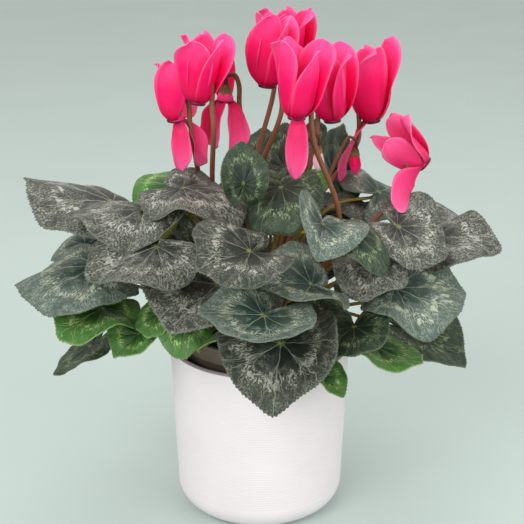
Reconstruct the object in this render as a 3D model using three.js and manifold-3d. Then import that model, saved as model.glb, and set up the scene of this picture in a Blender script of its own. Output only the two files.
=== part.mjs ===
// A florist's cyclamen in bloom. It stands in its plastic nursery pot, inside a white ribbed planter.
// Millimetres, +Z up. The origin is the centre of the planter's underside and -Y is the front.
import * as THREE from "three";
import { mergeVertices } from "three/addons/utils/BufferGeometryUtils.js";
import Module from "manifold-3d";

const wasm = await Module();
wasm.setup();

// ---------------------------------------------------------------- driving dimensions
const GAP = 0.3; // running gap between pieces that touch

const PLANTER = { height: 132, rimRadius: 68, footRadius: 63, wall: 3.6, floor: 5, heel: 18, sides: 36 };
const NURSERY = { rimRadius: 61, rimBand: 13, bodyRadius: 57.5, footRadius: 44, wall: 1.4, floor: 2 };
NURSERY.base = PLANTER.floor + GAP;
NURSERY.top = PLANTER.height + 15; // it stands a little proud of the planter
NURSERY.sides = 28;
NURSERY.hole = { radius: 5, ring: 26, count: 4 };
const SOIL = { level: NURSERY.top - 10, sides: 28 };
const TUBER = { radius: 25, height: 24, top: SOIL.level + 9, rings: 5, sides: 14 };

const BLADE = { thickness: 0.9, ringAt: 0.52 };
const LEAF_STALK = { radius: 1.5, sides: 4, steps: 4 };
const FLOWER_STALK = { radius: 2, sides: 5, steps: 11 };
const BUD_STALK = { radius: 1.3, sides: 4, steps: 7 };
const PETAL = { length: 50, width: 23, thickness: 0.8, settled: 0.34, across: 2, along: 4 };
const TUBE = { radius: 6.5, depth: 8, sides: 6 }; // the short corolla tube behind a bloom's mouth
const CALYX = { radius: 4.6, height: 5, sides: 6 };

// ---------------------------------------------------------------- colours
const finish = (colour, roughness) =>
  new THREE.MeshStandardMaterial({ color: colour, roughness, metalness: 0 });
const GLAZE = finish(0xf1eef0, 0.5);
const TAUPE = finish(0x5c5045, 0.6);
const PEAT = finish(0x2c211a, 0.95);
const STALK = finish(0x6f4a2f, 0.55);
const SILVER_LEAF = finish(0x5f6f66, 0.6);
const YOUNG_LEAF = finish(0x3f6d3a, 0.55);
const PINK = finish(0xf0386f, 0.5);
const PALE_PINK = finish(0xf2b8c4, 0.5);

// ---------------------------------------------------------------- small maths
const rad = THREE.MathUtils.degToRad;
const vec = (x, y, z) => new THREE.Vector3(x, y, z);
const mix = (a, b, t) => a + (b - a) * t;

// A repeatable number from 0 to 1 for each pair of whole numbers.
function chance(row, column) {
  const wave = Math.sin(row * 12.9898 + column * 78.233) * 43758.5453;
  return wave - Math.floor(wave);
}

// The unit vector at an azimuth from +X and an elevation above the horizon, both in degrees.
function pointing(azimuth, elevation) {
  const flat = Math.cos(rad(elevation));
  return vec(Math.cos(rad(azimuth)) * flat, Math.sin(rad(azimuth)) * flat, Math.sin(rad(elevation)));
}

// How far along and how far down a point lies once a flat strip bends by this much per millimetre.
function bent(distance, curvature) {
  if (Math.abs(curvature) < 1e-6) return [distance, 0];
  return [Math.sin(curvature * distance) / curvature, (Math.cos(curvature * distance) - 1) / curvature];
}

// ---------------------------------------------------------------- solids
function solidOf(geometry) {
  const bare = geometry.index ? geometry.toNonIndexed() : geometry.clone();
  bare.deleteAttribute("normal");
  bare.deleteAttribute("uv");
  const merged = mergeVertices(bare, 1e-3);
  return new wasm.Manifold(
    new wasm.Mesh({
      numProp: 3,
      vertProperties: merged.attributes.position.array,
      triVerts: new Uint32Array(merged.index.array),
    }),
  );
}

function geometryOf(solid) {
  const mesh = solid.getMesh();
  const points = new Float32Array(mesh.numVert * 3);
  for (let i = 0; i < mesh.numVert; i++) {
    points.set(mesh.vertProperties.subarray(i * mesh.numProp, i * mesh.numProp + 3), i * 3);
  }
  const geometry = new THREE.BufferGeometry();
  geometry.setAttribute("position", new THREE.BufferAttribute(points, 3));
  geometry.setIndex(new THREE.BufferAttribute(mesh.triVerts, 1));
  geometry.computeVertexNormals();
  return geometry;
}

// A surface of revolution about Z from [radius, height] pairs that run anticlockwise, seen with +X right.
function turned(profile, sides) {
  const outline = profile.map(([radius, height]) => new THREE.Vector2(radius, height));
  const geometry = new THREE.LatheGeometry(outline, sides);
  geometry.rotateX(Math.PI / 2);
  const solid = solidOf(geometry);
  return solid.volume() < 0 ? solidOf(flipped(geometry)) : solid;
}

function flipped(geometry) {
  const index = geometry.index.array;
  for (let i = 0; i < index.length; i += 3) [index[i + 1], index[i + 2]] = [index[i + 2], index[i + 1]];
  return geometry;
}

// A round rod with few sides along a curve.
function rod(curve, radius, sides, steps) {
  const section = new THREE.Shape();
  for (let i = 0; i < sides; i++) {
    const angle = (i / sides) * 2 * Math.PI;
    const at = [radius * Math.cos(angle), radius * Math.sin(angle)];
    if (i) section.lineTo(...at);
    else section.moveTo(...at);
  }
  const geometry = new THREE.ExtrudeGeometry(section, { steps, extrudePath: curve, bevelEnabled: false });
  return solidOf(geometry);
}

// Joins solids, evens out slivers under a twentieth of a millimetre and keeps the largest body.
function joined(solids) {
  const bodies = wasm.Manifold.union(solids).asOriginal().setTolerance(0.05).decompose();
  return bodies.reduce((best, body) => (body.volume() > best.volume() ? body : best));
}

// A thin sheet of even thickness. The two faces are split into the same triangles.
function sheet(points, triangles, rim, thickness) {
  const normals = points.map(() => vec(0, 0, 0));
  for (const [a, b, c] of triangles) {
    const one = points[b].clone().sub(points[a]);
    const normal = one.cross(points[c].clone().sub(points[a]));
    for (const corner of [a, b, c]) normals[corner].add(normal);
  }
  const place = [];
  for (const side of [0.5, -0.5]) {
    points.forEach((point, i) => {
      place.push(...point.clone().addScaledVector(normals[i].normalize(), side * thickness).toArray());
    });
  }
  const count = points.length;
  const index = [];
  for (const [a, b, c] of triangles) index.push(a, b, c, a + count, c + count, b + count);
  rim.forEach((a, i) => {
    const b = rim[(i + 1) % rim.length];
    index.push(b, a, a + count, b, a + count, b + count);
  });
  const geometry = new THREE.BufferGeometry();
  geometry.setAttribute("position", new THREE.Float32BufferAttribute(place, 3));
  geometry.setIndex(index);
  return solidOf(geometry);
}

const touches = (a, b) => a.intersect(b).volume() > 0.005;

// ---------------------------------------------------------------- planter, nursery pot and soil
function planter() {
  const { height, rimRadius, footRadius, wall, floor, heel, sides } = PLANTER;
  const outerAt = (z) => mix(footRadius, rimRadius, z / height);
  const outer = [[0, 0]];
  const inner = [];
  for (const turn of [0, 30, 60, 90]) {
    const away = outerAt(heel) - heel + heel * Math.sin(rad(turn));
    outer.push([away, heel - heel * Math.cos(rad(turn))]);
    const inside = (heel - wall) * Math.sin(rad(turn));
    inner.push([outerAt(heel) - heel + inside, floor + (heel - wall) * (1 - Math.cos(rad(turn)))]);
  }
  outer.push([rimRadius, height - 1.2], [rimRadius - 0.9, height], [rimRadius - wall + 0.9, height]);
  inner.push([rimRadius - wall, height - 1.2]);
  return turned([...outer, ...inner.reverse(), [0, floor]], sides);
}

function nurseryProfile(grow) {
  const { rimRadius, rimBand, bodyRadius, footRadius, wall, floor, base, top } = NURSERY;
  return {
    outer: [
      [0, base],
      [footRadius, base],
      [bodyRadius, top - rimBand],
      [rimRadius - 1, top - rimBand],
      [rimRadius - 1, top - 2.5],
      [rimRadius, top - 2],
      [rimRadius, top],
    ],
    inner: [
      [0, base + floor + grow],
      [footRadius - wall - grow, base + floor + grow],
      [bodyRadius - wall - grow, top - rimBand],
      [rimRadius - 1 - wall - grow, top - rimBand + 2],
      [rimRadius - 1 - wall - grow, top],
    ],
  };
}

function nurseryPot() {
  const { outer, inner } = nurseryProfile(0);
  let pot = turned([...outer, ...inner.reverse()], NURSERY.sides);
  const { radius, ring, count } = NURSERY.hole;
  for (let i = 0; i < count; i++) {
    const drill = new THREE.CylinderGeometry(radius, radius, 20, 8).rotateX(Math.PI / 2);
    const angle = (i / count) * 2 * Math.PI;
    drill.translate(ring * Math.cos(angle), ring * Math.sin(angle), NURSERY.base);
    pot = pot.subtract(solidOf(drill));
  }
  return pot;
}

function tuberBody(grow) {
  const profile = [];
  for (let i = 0; i <= TUBER.rings; i++) {
    const angle = mix(-90, 90, i / TUBER.rings);
    const across = i === 0 || i === TUBER.rings ? 0 : (TUBER.radius + grow) * Math.cos(rad(angle));
    const middle = TUBER.top - TUBER.height / 2;
    profile.push([across, middle + (TUBER.height / 2 + grow) * Math.sin(rad(angle))]);
  }
  return turned(profile, TUBER.sides);
}

function soil() {
  const { inner } = nurseryProfile(GAP);
  const [, foot, knee, band] = inner;
  const edge = band[0];
  const top = [[edge, SOIL.level - 2], [edge * 0.6, SOIL.level], [0, SOIL.level]];
  return turned([[0, foot[1]], foot, knee, band, ...top], SOIL.sides).subtract(tuberBody(GAP));
}

// ---------------------------------------------------------------- leaves
// The heart-shaped outline: how far the edge lies from the stalk, as a share of the length to the tip.
// The angle is 0 at the tip and 180 degrees in the notch where the stalk arrives.
function leafEdge(angle) {
  const away = Math.abs(angle);
  const body = 0.74 + 0.18 * Math.cos(away) + 0.03 * Math.cos(2 * away);
  const tip = 0.06 * Math.exp(-((away / 0.22) ** 2));
  const notch = 1 - 0.9 * Math.exp(-(((Math.PI - away) / 0.16) ** 2));
  return (body + tip) * notch;
}

// How a leaf is held. Droop bends the tip down and arch bends both sides down, in radians over the
// leaf's length. Fold lifts the sides from the midrib like an open book, and wave ripples the edge.
const HABITS = {
  dome: { droop: 0.7, arch: 0.8, fold: 0, wave: 0.03 },
  shield: { droop: 0.45, arch: 0.35, fold: 0, wave: 0.04 },
  roof: { droop: 0.4, arch: 0.3, fold: -0.35, wave: 0.04 },
  trough: { droop: 0.4, arch: -0.1, fold: 0.35, wave: 0.04 },
  wavy: { droop: 0.45, arch: 0.3, fold: 0, wave: 0.12 },
  saucer: { droop: -0.15, arch: -0.3, fold: 0, wave: 0.04 },
  cup: { droop: -0.4, arch: -0.6, fold: 0, wave: 0.05 },
  hooked: { droop: 1, arch: 0.5, fold: 0, wave: 0.05 },
  flat: { droop: 0.15, arch: 0.1, fold: 0, wave: 0.04 },
};

// [name, stalk end x, y, z, heading, dip, roll, length, width, habit, where the ripple starts]
// The heading is the compass direction of the tip from +X, the dip lowers the tip and the roll turns
// the blade about its midrib, all in degrees. The width is a share of the usual width.
const LEAVES = [
  ["leaf_back_upright_small", 41, 57, 268, 65, -65, -25, 21, 0.85, "saucer", 60],
  ["leaf_back_upright_right", 58, 58, 243, 50, -105, -25, 41, 0.9, "shield", 300],
  ["leaf_back_mid_olive", 2, 43, 261, 85, -50, 10, 30, 0.9, "roof", 180],
  ["leaf_back_upright_mid", 19, 32, 258, 85, -40, -4, 38, 0.75, "saucer", 60],
  ["leaf_right_back_top", 88, 15, 244, 55, 0, 32, 43, 0.95, "wavy", 180],
  ["leaf_right_back_olive_hi", 126, 31, 222, 40, 0, 10, 39, 0.95, "wavy", 0],
  ["leaf_back_left_green", -66, 23, 246, 145, -5, -20, 35, 0.95, "wavy", 60],
  ["leaf_left_dark_behind", -131, 15, 202, 150, -15, -20, 32, 0.95, "hooked", 240],
  ["leaf_right_back_olive_lo", 126, 20, 187, 0, 0, 5, 32, 0.95, "hooked", 180],
  ["leaf_right_far", 125, -14, 218, -18, -14, 20, 47, 0.9, "wavy", 300],
  ["leaf_left_far", -107, -4, 242, 170, -25, 0, 69, 1, "dome", 60],
  ["leaf_upper_dark", 12, 6, 264, -85, -8, 4, 26, 1, "trough", 60],
  ["leaf_right_grey_top", 79, 19, 234, -145, -15, -6, 33, 0.9, "wavy", 30],
  ["leaf_left_hanging", -128, -6, 129, -155, 37, 8, 33, 0.9, "saucer", 240],
  ["leaf_right_lower_back", 110, -1, 140, -30, 10, 5, 51, 1, "trough", 120],
  ["leaf_small_round_top", 34, -16, 263, -40, -20, 30, 17, 1.06, "wavy", 0],
  ["leaf_upper_left", -54, -34, 262, -35, -4, 5, 48, 1, "wavy", 300],
  ["leaf_upright_mid", -11, -54, 271, 95, -72, 5, 32, 0.95, "saucer", 120],
  ["leaf_left_lower", -116, -32, 202, -185, -5, -10, 60, 1.06, "shield", 0],
  ["leaf_left_upper", -80, -46, 250, -168, -6, -8, 54, 0.85, "shield", 0],
  ["leaf_right_upper_big", 97, -44, 237, -20, 25, 20, 38, 1.08, "saucer", 120],
  ["leaf_left_green", -113, -38, 173, -135, 5, 0, 41, 1.06, "wavy", 180],
  ["leaf_right_lower_big", 96, -53, 194, 10, 0, 15, 51, 1, "flat", 240],
  ["leaf_upper_mid", 15, -38, 264, -80, 18, 10, 42, 1, "shield", 0],
  ["leaf_left_dark_small", -71, -54, 177, -115, 35, 10, 23, 1, "saucer", 180],
  ["leaf_left_small", -86, -51, 158, -145, 25, -15, 25, 1.08, "trough", 60],
  ["leaf_right_bright", 82, -59, 153, -35, 20, -5, 37, 1.04, "saucer", 60],
  ["leaf_left_mid", -70, -70, 231, -158, 10, -18, 50, 1.06, "flat", 240],
  ["leaf_right_mid_low", 78, -62, 217, -100, 20, -10, 32, 1.1, "wavy", 0],
  ["leaf_right_mid", 63, -81, 245, -30, 20, 10, 33, 1.08, "dome", 180],
  ["leaf_rim_left", -52, -67, 172, -95, 10, 15, 26, 1, "hooked", 0],
  ["leaf_rim_small_right", 43, -73, 136, -30, 25, 5, 22, 1, "trough", 60],
  ["leaf_centre_right_round", 42, -84, 252, -90, 14, -30, 32, 1.1, "trough", 60],
  ["leaf_right_low_round", 66, -73, 173, -95, 15, 10, 32, 1.1, "saucer", 180],
  ["leaf_front_left_big", -29, -60, 199, -115, 0, -14, 63, 1.08, "trough", 60],
  ["leaf_centre", 35, -91, 211, -145, -20, -30, 41, 1.08, "trough", 120],
  ["leaf_centre_left", -6, -103, 239, -140, -5, -20, 43, 1.08, "trough", 0],
  ["leaf_front_low", 15, -95, 170, -100, 30, 0, 50, 1.1, "trough", 300],
  ["leaf_rim_front", -9, -64, 173, -150, -4, 23, 42, 0.8, "dome", 0],
  ["leaf_front_mid", 3, -120, 201, -125, 5, -17, 47, 1.08, "cup", 180],
];

// The photo shows the front only. Behind, leaves like those at the sides fill the crown in three tiers.
function backLeaves(count) {
  const rows = [];
  for (let i = 0; i < count; i++) {
    const azimuth = mix(38, 160, (i + 0.5) / count);
    const tier = i % 3;
    const away = [60, 74, 80][tier];
    const place = [away * Math.cos(rad(azimuth)), away * Math.sin(rad(azimuth)), [226, 190, 158][tier]];
    const heading = azimuth + mix(-18, 18, chance(i, 3));
    const length = mix(44, 54, chance(i, 4));
    const habit = ["shield", "dome", "flat"][tier];
    const pose = [heading, 8 + 6 * tier, mix(-12, 12, chance(i, 5))];
    rows.push([`leaf_back_${i + 1}`, ...place, ...pose, length, 1, habit, 60 * i]);
  }
  return rows;
}

function leafFrame(row) {
  const [, , , , heading, dip, roll] = row;
  const along = pointing(heading, -dip);
  const level = pointing(heading + 90, 0);
  const above = along.clone().cross(level);
  const left = level.clone().multiplyScalar(Math.cos(rad(roll))).addScaledVector(above, Math.sin(rad(roll)));
  const up = above.multiplyScalar(Math.cos(rad(roll))).addScaledVector(level, -Math.sin(rad(roll)));
  return { along, left, up };
}

// The blade's middle surface at an angle round the stalk and a share of the way out to the edge.
function leafPoint(row, frame, angle, share) {
  const [, x, y, z, , , , length, width, habit, start] = row;
  const { droop, arch, fold, wave } = HABITS[habit];
  const out = leafEdge(angle) * share * length;
  const ahead = out * Math.cos(angle);
  const aside = out * Math.sin(angle) * width;
  const ripple = wave * length * share ** 2 * Math.sin(4 * angle + rad(start));
  const [spread, sag] = bent(aside, arch / length);
  const [reach, fall] = bent(ahead, droop / length);
  const rise = ripple + fold * Math.abs(aside) + sag + fall;
  const point = vec(x, y, z).addScaledVector(frame.along, reach);
  return point.addScaledVector(frame.left, spread).addScaledVector(frame.up, rise);
}

// The edge is sampled more closely on a long leaf, and once more in the notch.
function leafAngles(length) {
  const count = length > 48 ? 15 : length > 30 ? 13 : 11;
  const angles = [];
  for (let i = 0; i < count; i++) angles.push(mix(-1, 1, i / (count - 1)) * (Math.PI - 0.26));
  angles.push(Math.PI);
  return angles;
}

function blade(row, thickness) {
  const frame = leafFrame(row);
  const angles = leafAngles(row[7]);
  const count = angles.length;
  const points = [leafPoint(row, frame, 0, 0)];
  for (const share of [BLADE.ringAt, 1]) {
    angles.forEach((angle) => points.push(leafPoint(row, frame, angle, share)));
  }
  const triangles = [];
  const rim = [];
  for (let i = 0; i < count; i++) {
    const next = (i + 1) % count;
    const [a, b, c, d] = [1 + i, 1 + next, 1 + count + i, 1 + count + next];
    triangles.push([0, a, b], [a, c, d], [a, d, b]);
    rim.push(c);
  }
  return sheet(points, triangles, rim, thickness);
}

// ---------------------------------------------------------------- blooms and buds
// [name, mouth x, y, z, size, lean azimuth, lean, first petal, stalk side, how far each petal turns back]
// The mouth looks down. A petal at 90 stands straight up from it, at 0 it spreads flat, below 0 it hangs.
const BLOOMS = [
  ["bloom_back_centre", 22, 50, 324, 1.04, 180, 2, 20, 180, [84, 88, 86, 86, 82]],
  ["bloom_back_right", 84, 35, 292, 1.2, 180, 8, 60, 196, [86, 84, -58, 84, 82]],
  ["bloom_hanging", -25, 15, 312, 0.9, 0, 4, 30, 0, [-82, 88, -84, -86, -76]],
  ["bloom_top_centre", 5, 5, 325, 1.1, 0, 6, 16, 340, [86, 84, 90, 86, 88]],
  ["bloom_left_low", -59, -16, 305, 0.88, 0, 0, -140, 0, [97, -84, -66, 14, 86]],
  ["bloom_right_centre", 52, -5, 302, 1.1, 180, 5, 34, 178, [86, 84, 88, 86, 90]],
  ["bloom_left_tall", -43, -35, 322, 1, 0, 9, -54, 350, [88, 84, 86, 86, 86]],
  ["bloom_far_right", 119, -10, 272, 0.8, 180, 50, -36, 216, [84, 86, 84, 8, 86]],
  ["bloom_front_centre", 25, -54, 316, 1.06, 0, 3, -50, 14, [86, 86, 88, 88, -84]],
];

// [name, stalk end x, y, z, length, radius]
const BUDS = [
  ["bud_pale", 42, -14, 287, 19, 4],
  ["bud_pink", 70, 8, 279, 20, 4.2],
];

function bloomFrame(row) {
  const [, , , , , leanAzimuth, lean] = row;
  const axis = pointing(leanAzimuth, 90 - lean);
  const right = vec(0, 1, 0).cross(axis).normalize();
  const back = axis.clone().cross(right);
  return { axis, right, back };
}

// A point of the bloom at an azimuth, a distance from its axis and a height above the mouth.
function bloomPoint(row, frame, azimuth, away, height) {
  const point = vec(row[1], row[2], row[3]).addScaledVector(frame.axis, height);
  point.addScaledVector(frame.right, away * Math.cos(rad(azimuth)));
  return point.addScaledVector(frame.back, away * Math.sin(rad(azimuth)));
}

// A petal leaves the rim of the mouth, turns back to its own angle and twists on the way, so that the
// five overlap like the blades of a fan. One that spreads out flat twists until its face shows.
function petal(row, frame, index) {
  const [, x, , , size, , , first, , turns] = row;
  const azimuth = first + 72 * index;
  const turn = turns[index];
  const length = PETAL.length * size * (turn < 0 ? 0.82 : 1) * mix(0.96, 1.04, chance(x + index, 6));
  const spread = turn > 0 && turn < 20;
  const twist = spread ? 60 : mix(16, 26, chance(x + index, 7));
  const spine = [[TUBE.radius - 2, 1.2]];
  const fine = 4;
  const start = turn > 0 ? Math.min(turn, 25) : turn * 0.5;
  const slopeAt = (share) => rad(mix(start, turn, Math.min(1, share / PETAL.settled)));
  for (let i = 0; i < PETAL.along * fine; i++) {
    const slope = slopeAt((i + 0.5) / (PETAL.along * fine));
    const step = length / (PETAL.along * fine);
    const [away, height] = spine[i];
    spine.push([away + step * Math.cos(slope), height + step * Math.sin(slope)]);
  }
  const points = [];
  for (let i = 0; i <= PETAL.along; i++) {
    const share = i / PETAL.along;
    const slope = slopeAt(share);
    const [away, height] = spine[i * fine];
    const half = (PETAL.width / 2) * size * petalWidth(share);
    for (let j = 0; j <= PETAL.across; j++) {
      const side = mix(-1, 1, j / PETAL.across);
      const roll = rad(twist * Math.min(1, share / 0.35 + 0.1));
      const across = side * half * Math.cos(roll);
      const inward = side * half * Math.sin(roll) + 0.18 * half * side ** 2;
      const [r, z] = [away - inward * Math.sin(slope), height + inward * Math.cos(slope)];
      const base = bloomPoint(row, frame, azimuth, r, z);
      const sideways = bloomPoint(row, frame, azimuth + 90, 1, 0).sub(bloomPoint(row, frame, 0, 0, 0));
      points.push(base.addScaledVector(sideways, across));
    }
  }
  const wide = PETAL.across + 1;
  const triangles = [];
  for (let i = 0; i < PETAL.along; i++) {
    for (let j = 0; j < PETAL.across; j++) {
      const a = i * wide + j;
      triangles.push([a, a + 1, a + wide + 1], [a, a + wide + 1, a + wide]);
    }
  }
  const rim = [];
  for (let j = 0; j < PETAL.across; j++) rim.push(j);
  for (let i = 0; i < PETAL.along; i++) rim.push(i * wide + PETAL.across);
  for (let j = PETAL.across; j > 0; j--) rim.push(PETAL.along * wide + j);
  for (let i = PETAL.along; i > 0; i--) rim.push(i * wide);
  return sheet(points, triangles, rim, PETAL.thickness);
}

// The width of a petal along its length: narrow at the mouth, widest past the middle, round at the tip.
function petalWidth(share) {
  const swell = 0.36 + 0.64 * Math.sin(Math.PI * Math.min(1, share * 0.84));
  return swell * Math.sqrt(Math.max(0.06, 1 - (Math.max(0, share - 0.55) / 0.46) ** 2));
}

function bloom(row) {
  const frame = bloomFrame(row);
  const { radius, depth, sides } = TUBE;
  const profile = [[0, depth / 2], [radius - 1.2, 0], [radius, 0], [4, depth], [0, depth]];
  const tube = placed(turned(profile, sides), row, frame, 0);
  const petals = row[9].map((_, index) => petal(row, frame, index));
  return joined([tube, ...petals]);
}

// Stands a solid that was turned about Z on the bloom's own axis.
function placed(solid, row, frame, height) {
  const at = bloomPoint(row, frame, 0, 0, height);
  const turn = new THREE.Matrix4().makeBasis(frame.right, frame.back, frame.axis).setPosition(at);
  return solid.transform(turn.toArray());
}

function bud(row) {
  const [, x, y, z, length, radius] = row;
  const profile = [];
  for (let i = 0; i <= 5; i++) {
    const share = i / 5;
    const away = i === 0 || i === 5 ? 0 : radius * Math.sin(Math.PI * share ** 0.8);
    profile.push([away, -length * (1 - share)]);
  }
  return turned(profile, 7).translate([x, y, z]);
}

// ---------------------------------------------------------------- stalks
// Even steps of the curve's own parameter put more rings in the hook, where the points lie close.
function stalkCurve(points) {
  const curve = new THREE.CatmullRomCurve3(points, false, "centripetal");
  curve.getUtoTmapping = (step) => step;
  return curve;
}

// A leaf stalk leaves the crown steeply, arches outwards and meets the blade squarely from below.
function leafStalkCurve(row, swing, lift, handle) {
  const { up, along } = leafFrame(row);
  const end = leafPoint(row, leafFrame(row), 0, 0).addScaledVector(up, -BLADE.thickness / 2 - 3 * GAP);
  const azimuth = (Math.atan2(end.y, end.x) * 180) / Math.PI;
  const away = Math.hypot(end.x, end.y);
  const low = Math.min(1, Math.max(0, (250 - end.z) / 110));
  const root = pointing(azimuth, 0).multiplyScalar(mix(9, 21, low));
  root.z = TUBER.top - 3 - 5 * low;
  const rise = Math.max(end.z - root.z, 40) * lift;
  const knee = pointing(azimuth + swing, 0).multiplyScalar(mix(away, 22, 0.62));
  knee.z = root.z + rise;
  const approach = up.clone().addScaledVector(along, 0.15).normalize();
  const neck = end.clone().addScaledVector(approach, -handle);
  return new THREE.CubicBezierCurve3(root, knee, neck, end);
}

const SWINGS = [0, 18, -18, 36, -36, 55, -55, 80, -80];
const LIFTS = [0.75, 1.05, 0.45, 1.4];
const HANDLES = [18, 30, 9];
const SWAYS = [0, 7, -7, 14, -14, 22, -22, 32, -32];
const LEANS = [0, 8, -8, 16, -16, 26, -26, 36];
const YOUNG = /green|bright|small|rim|hanging/;

function flowerStalkCurve(row, sway, lean) {
  const frame = bloomFrame(row);
  const side = row[8];
  const beside = TUBE.radius + FLOWER_STALK.radius + 0.8;
  const over = TUBE.depth + GAP + CALYX.height;
  const tilt = row[6] / 50;
  const low = bloomPoint(row, frame, side, beside + 3 + 8 * tilt, mix(-16, 4, tilt));
  const azimuth = (Math.atan2(low.y, low.x) * 180) / Math.PI;
  const root = pointing(azimuth, 0).multiplyScalar(5);
  root.z = TUBER.top - 3;
  const middle = root.clone().lerp(low, 0.55).addScaledVector(pointing(azimuth + 90, 0), sway);
  middle.addScaledVector(pointing(azimuth, 0), lean);
  return stalkCurve([
    root,
    root.clone().lerp(middle, 0.5).add(vec(0, 0, 6)),
    middle,
    low,
    bloomPoint(row, frame, side, beside + 0.8 + 3 * tilt, 7 * tilt),
    bloomPoint(row, frame, side, beside, over),
    bloomPoint(row, frame, side, beside * 0.6, over + 7),
    bloomPoint(row, frame, side, 0, over + 6),
    bloomPoint(row, frame, side, 0, over - 1),
  ]);
}

function calyx(row, frame, height) {
  const shape = [[0, 0], [CALYX.radius, 0], [CALYX.radius * 0.7, CALYX.height * 0.7], [0, CALYX.height]];
  return placed(turned(shape, CALYX.sides), row, frame, height);
}

function budStalkCurve(row, sway, lean) {
  const [, x, y, z] = row;
  const azimuth = (Math.atan2(y, x) * 180) / Math.PI;
  const root = pointing(azimuth, 0).multiplyScalar(6);
  root.z = TUBER.top - 3;
  const near = vec(x, y, z).addScaledVector(pointing(azimuth, 0), -11);
  const middle = root.clone().lerp(near, 0.55).addScaledVector(pointing(azimuth + 90, 0), sway);
  middle.addScaledVector(pointing(azimuth, 0), lean);
  const top = vec(x, y, z + 9).addScaledVector(pointing(azimuth, 0), -5);
  return stalkCurve([root, middle, near, top, vec(x, y, z + 6), vec(x, y, z + GAP)]);
}

// ---------------------------------------------------------------- assembly
const pots = [planter(), nurseryPot(), soil()];
const foliage = [...backLeaves(5), ...LEAVES];
const blades = foliage.map((row) => blade(row, BLADE.thickness));
const blooms = BLOOMS.map(bloom);
const buds = BUDS.map(bud);

// The stalks find their way up between the other pieces. Each takes its first bend that keeps the gap
// to them, and ends just short of the piece it carries.
const pieces = [...blades, ...blooms, ...buds];
const stalks = [tuberBody(0)];

function grow(curves, size, carried, seat) {
  const rest = wasm.Manifold.compose([...pots, ...pieces.filter((piece) => piece !== carried)]);
  const thick = (curve) => rod(curve, size.radius + GAP, size.sides, size.steps);
  const plain = (curve) => rod(curve, size.radius, size.sides, size.steps);
  const curve = curves.find((bend) => !touches(thick(bend), rest) && !(seat && touches(plain(bend), seat)));
  stalks.push(plain(curve));
  return curve;
}

const leafBends = SWINGS.flatMap((swing) => LIFTS.flatMap((lift) => HANDLES.map((h) => [swing, lift, h])));
const flowerBends = LEANS.flatMap((lean) => SWAYS.map((sway) => [sway, lean]));
for (const [i, row] of foliage.entries()) {
  const curves = leafBends.map((bend) => leafStalkCurve(row, ...bend));
  grow(curves, LEAF_STALK, blades[i], blade(row, BLADE.thickness + GAP));
}
for (const [i, row] of BUDS.entries()) {
  const curves = flowerBends.map((bend) => budStalkCurve(row, ...bend));
  grow(curves, BUD_STALK, buds[i], null);
}
for (const [i, row] of BLOOMS.entries()) {
  const curves = flowerBends.map((bend) => flowerStalkCurve(row, ...bend));
  const curve = grow(curves, FLOWER_STALK, blooms[i], null);
  stalks.push(calyx(row, bloomFrame(row), TUBE.depth + GAP));
  // The petals part round the stalk that hooks over the bloom.
  const room = rod(curve, FLOWER_STALK.radius + GAP + 0.1, FLOWER_STALK.sides, FLOWER_STALK.steps);
  blooms[i] = joined([blooms[i].subtract(room)]);
}

const part = new THREE.Group();
part.name = "potted_cyclamen";

function add(name, solid, material) {
  const mesh = new THREE.Mesh(geometryOf(solid), material);
  mesh.name = name;
  part.add(mesh);
}

add("planter", pots[0], GLAZE);
add("nursery_pot", pots[1], TAUPE);
add("potting_soil", pots[2], PEAT);
add("tuber_with_stalks", joined(stalks), STALK);
foliage.forEach(([name], i) => add(name, blades[i], YOUNG.test(name) ? YOUNG_LEAF : SILVER_LEAF));
BLOOMS.forEach(([name], i) => add(name, blooms[i], PINK));
BUDS.forEach(([name], i) => add(name, buds[i], name === "bud_pale" ? PALE_PINK : PINK));

export default part;
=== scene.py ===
# %% [markdown]
# # A potted cyclamen
#
# This lesson dresses a florist's cyclamen. The plant stands in a thin plastic nursery pot, and that pot
# stands in a white planter with fine ribs. The solid model of the part is loaded first as a fixed frame.
# Every leaf, petal, stalk and pot is then made finer in mesh code, in the place where the frame has it.

# %% Load the solid model
import math
import random

import bpy
import numpy as np
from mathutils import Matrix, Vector, noise
from mathutils.bvhtree import BVHTree


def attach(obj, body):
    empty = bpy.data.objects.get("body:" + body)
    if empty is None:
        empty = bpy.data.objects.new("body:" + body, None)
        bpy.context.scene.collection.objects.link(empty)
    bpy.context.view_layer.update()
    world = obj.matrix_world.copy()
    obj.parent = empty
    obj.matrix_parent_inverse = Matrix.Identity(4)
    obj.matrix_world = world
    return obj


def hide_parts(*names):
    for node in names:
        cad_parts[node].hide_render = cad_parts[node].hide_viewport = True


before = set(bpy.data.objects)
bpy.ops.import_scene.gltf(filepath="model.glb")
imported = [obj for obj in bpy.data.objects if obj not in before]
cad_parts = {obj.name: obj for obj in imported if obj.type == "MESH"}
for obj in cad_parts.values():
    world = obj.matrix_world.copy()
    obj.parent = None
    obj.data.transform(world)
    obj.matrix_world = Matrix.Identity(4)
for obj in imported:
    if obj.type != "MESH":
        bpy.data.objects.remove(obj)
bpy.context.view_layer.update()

scene = bpy.context.scene

# %% [markdown]
# ## Camera
#
# The picture is taken from a little above the crown, looking down on it. A long lens from about a metre
# away keeps the pot's sides nearly parallel, as a portrait lens does. The lens, the place and the tilt
# were fitted to the two ellipses that the rim and the foot of the pot make in the picture.

# %% Stand the camera in front
LOOKS_DOWN = 20.05
lens = bpy.data.cameras.new("camera")
lens.lens, lens.sensor_width = 87.94, 36
camera = bpy.data.objects.new("camera", lens)
camera.location = (0.0018, -0.895, 0.521)
camera.rotation_euler = (math.radians(90 - LOOKS_DOWN), 0, 0)
scene.collection.objects.link(camera)
scene.camera = camera
print("camera", round(camera.location.length, 2), "m from the foot of the planter")

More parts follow.
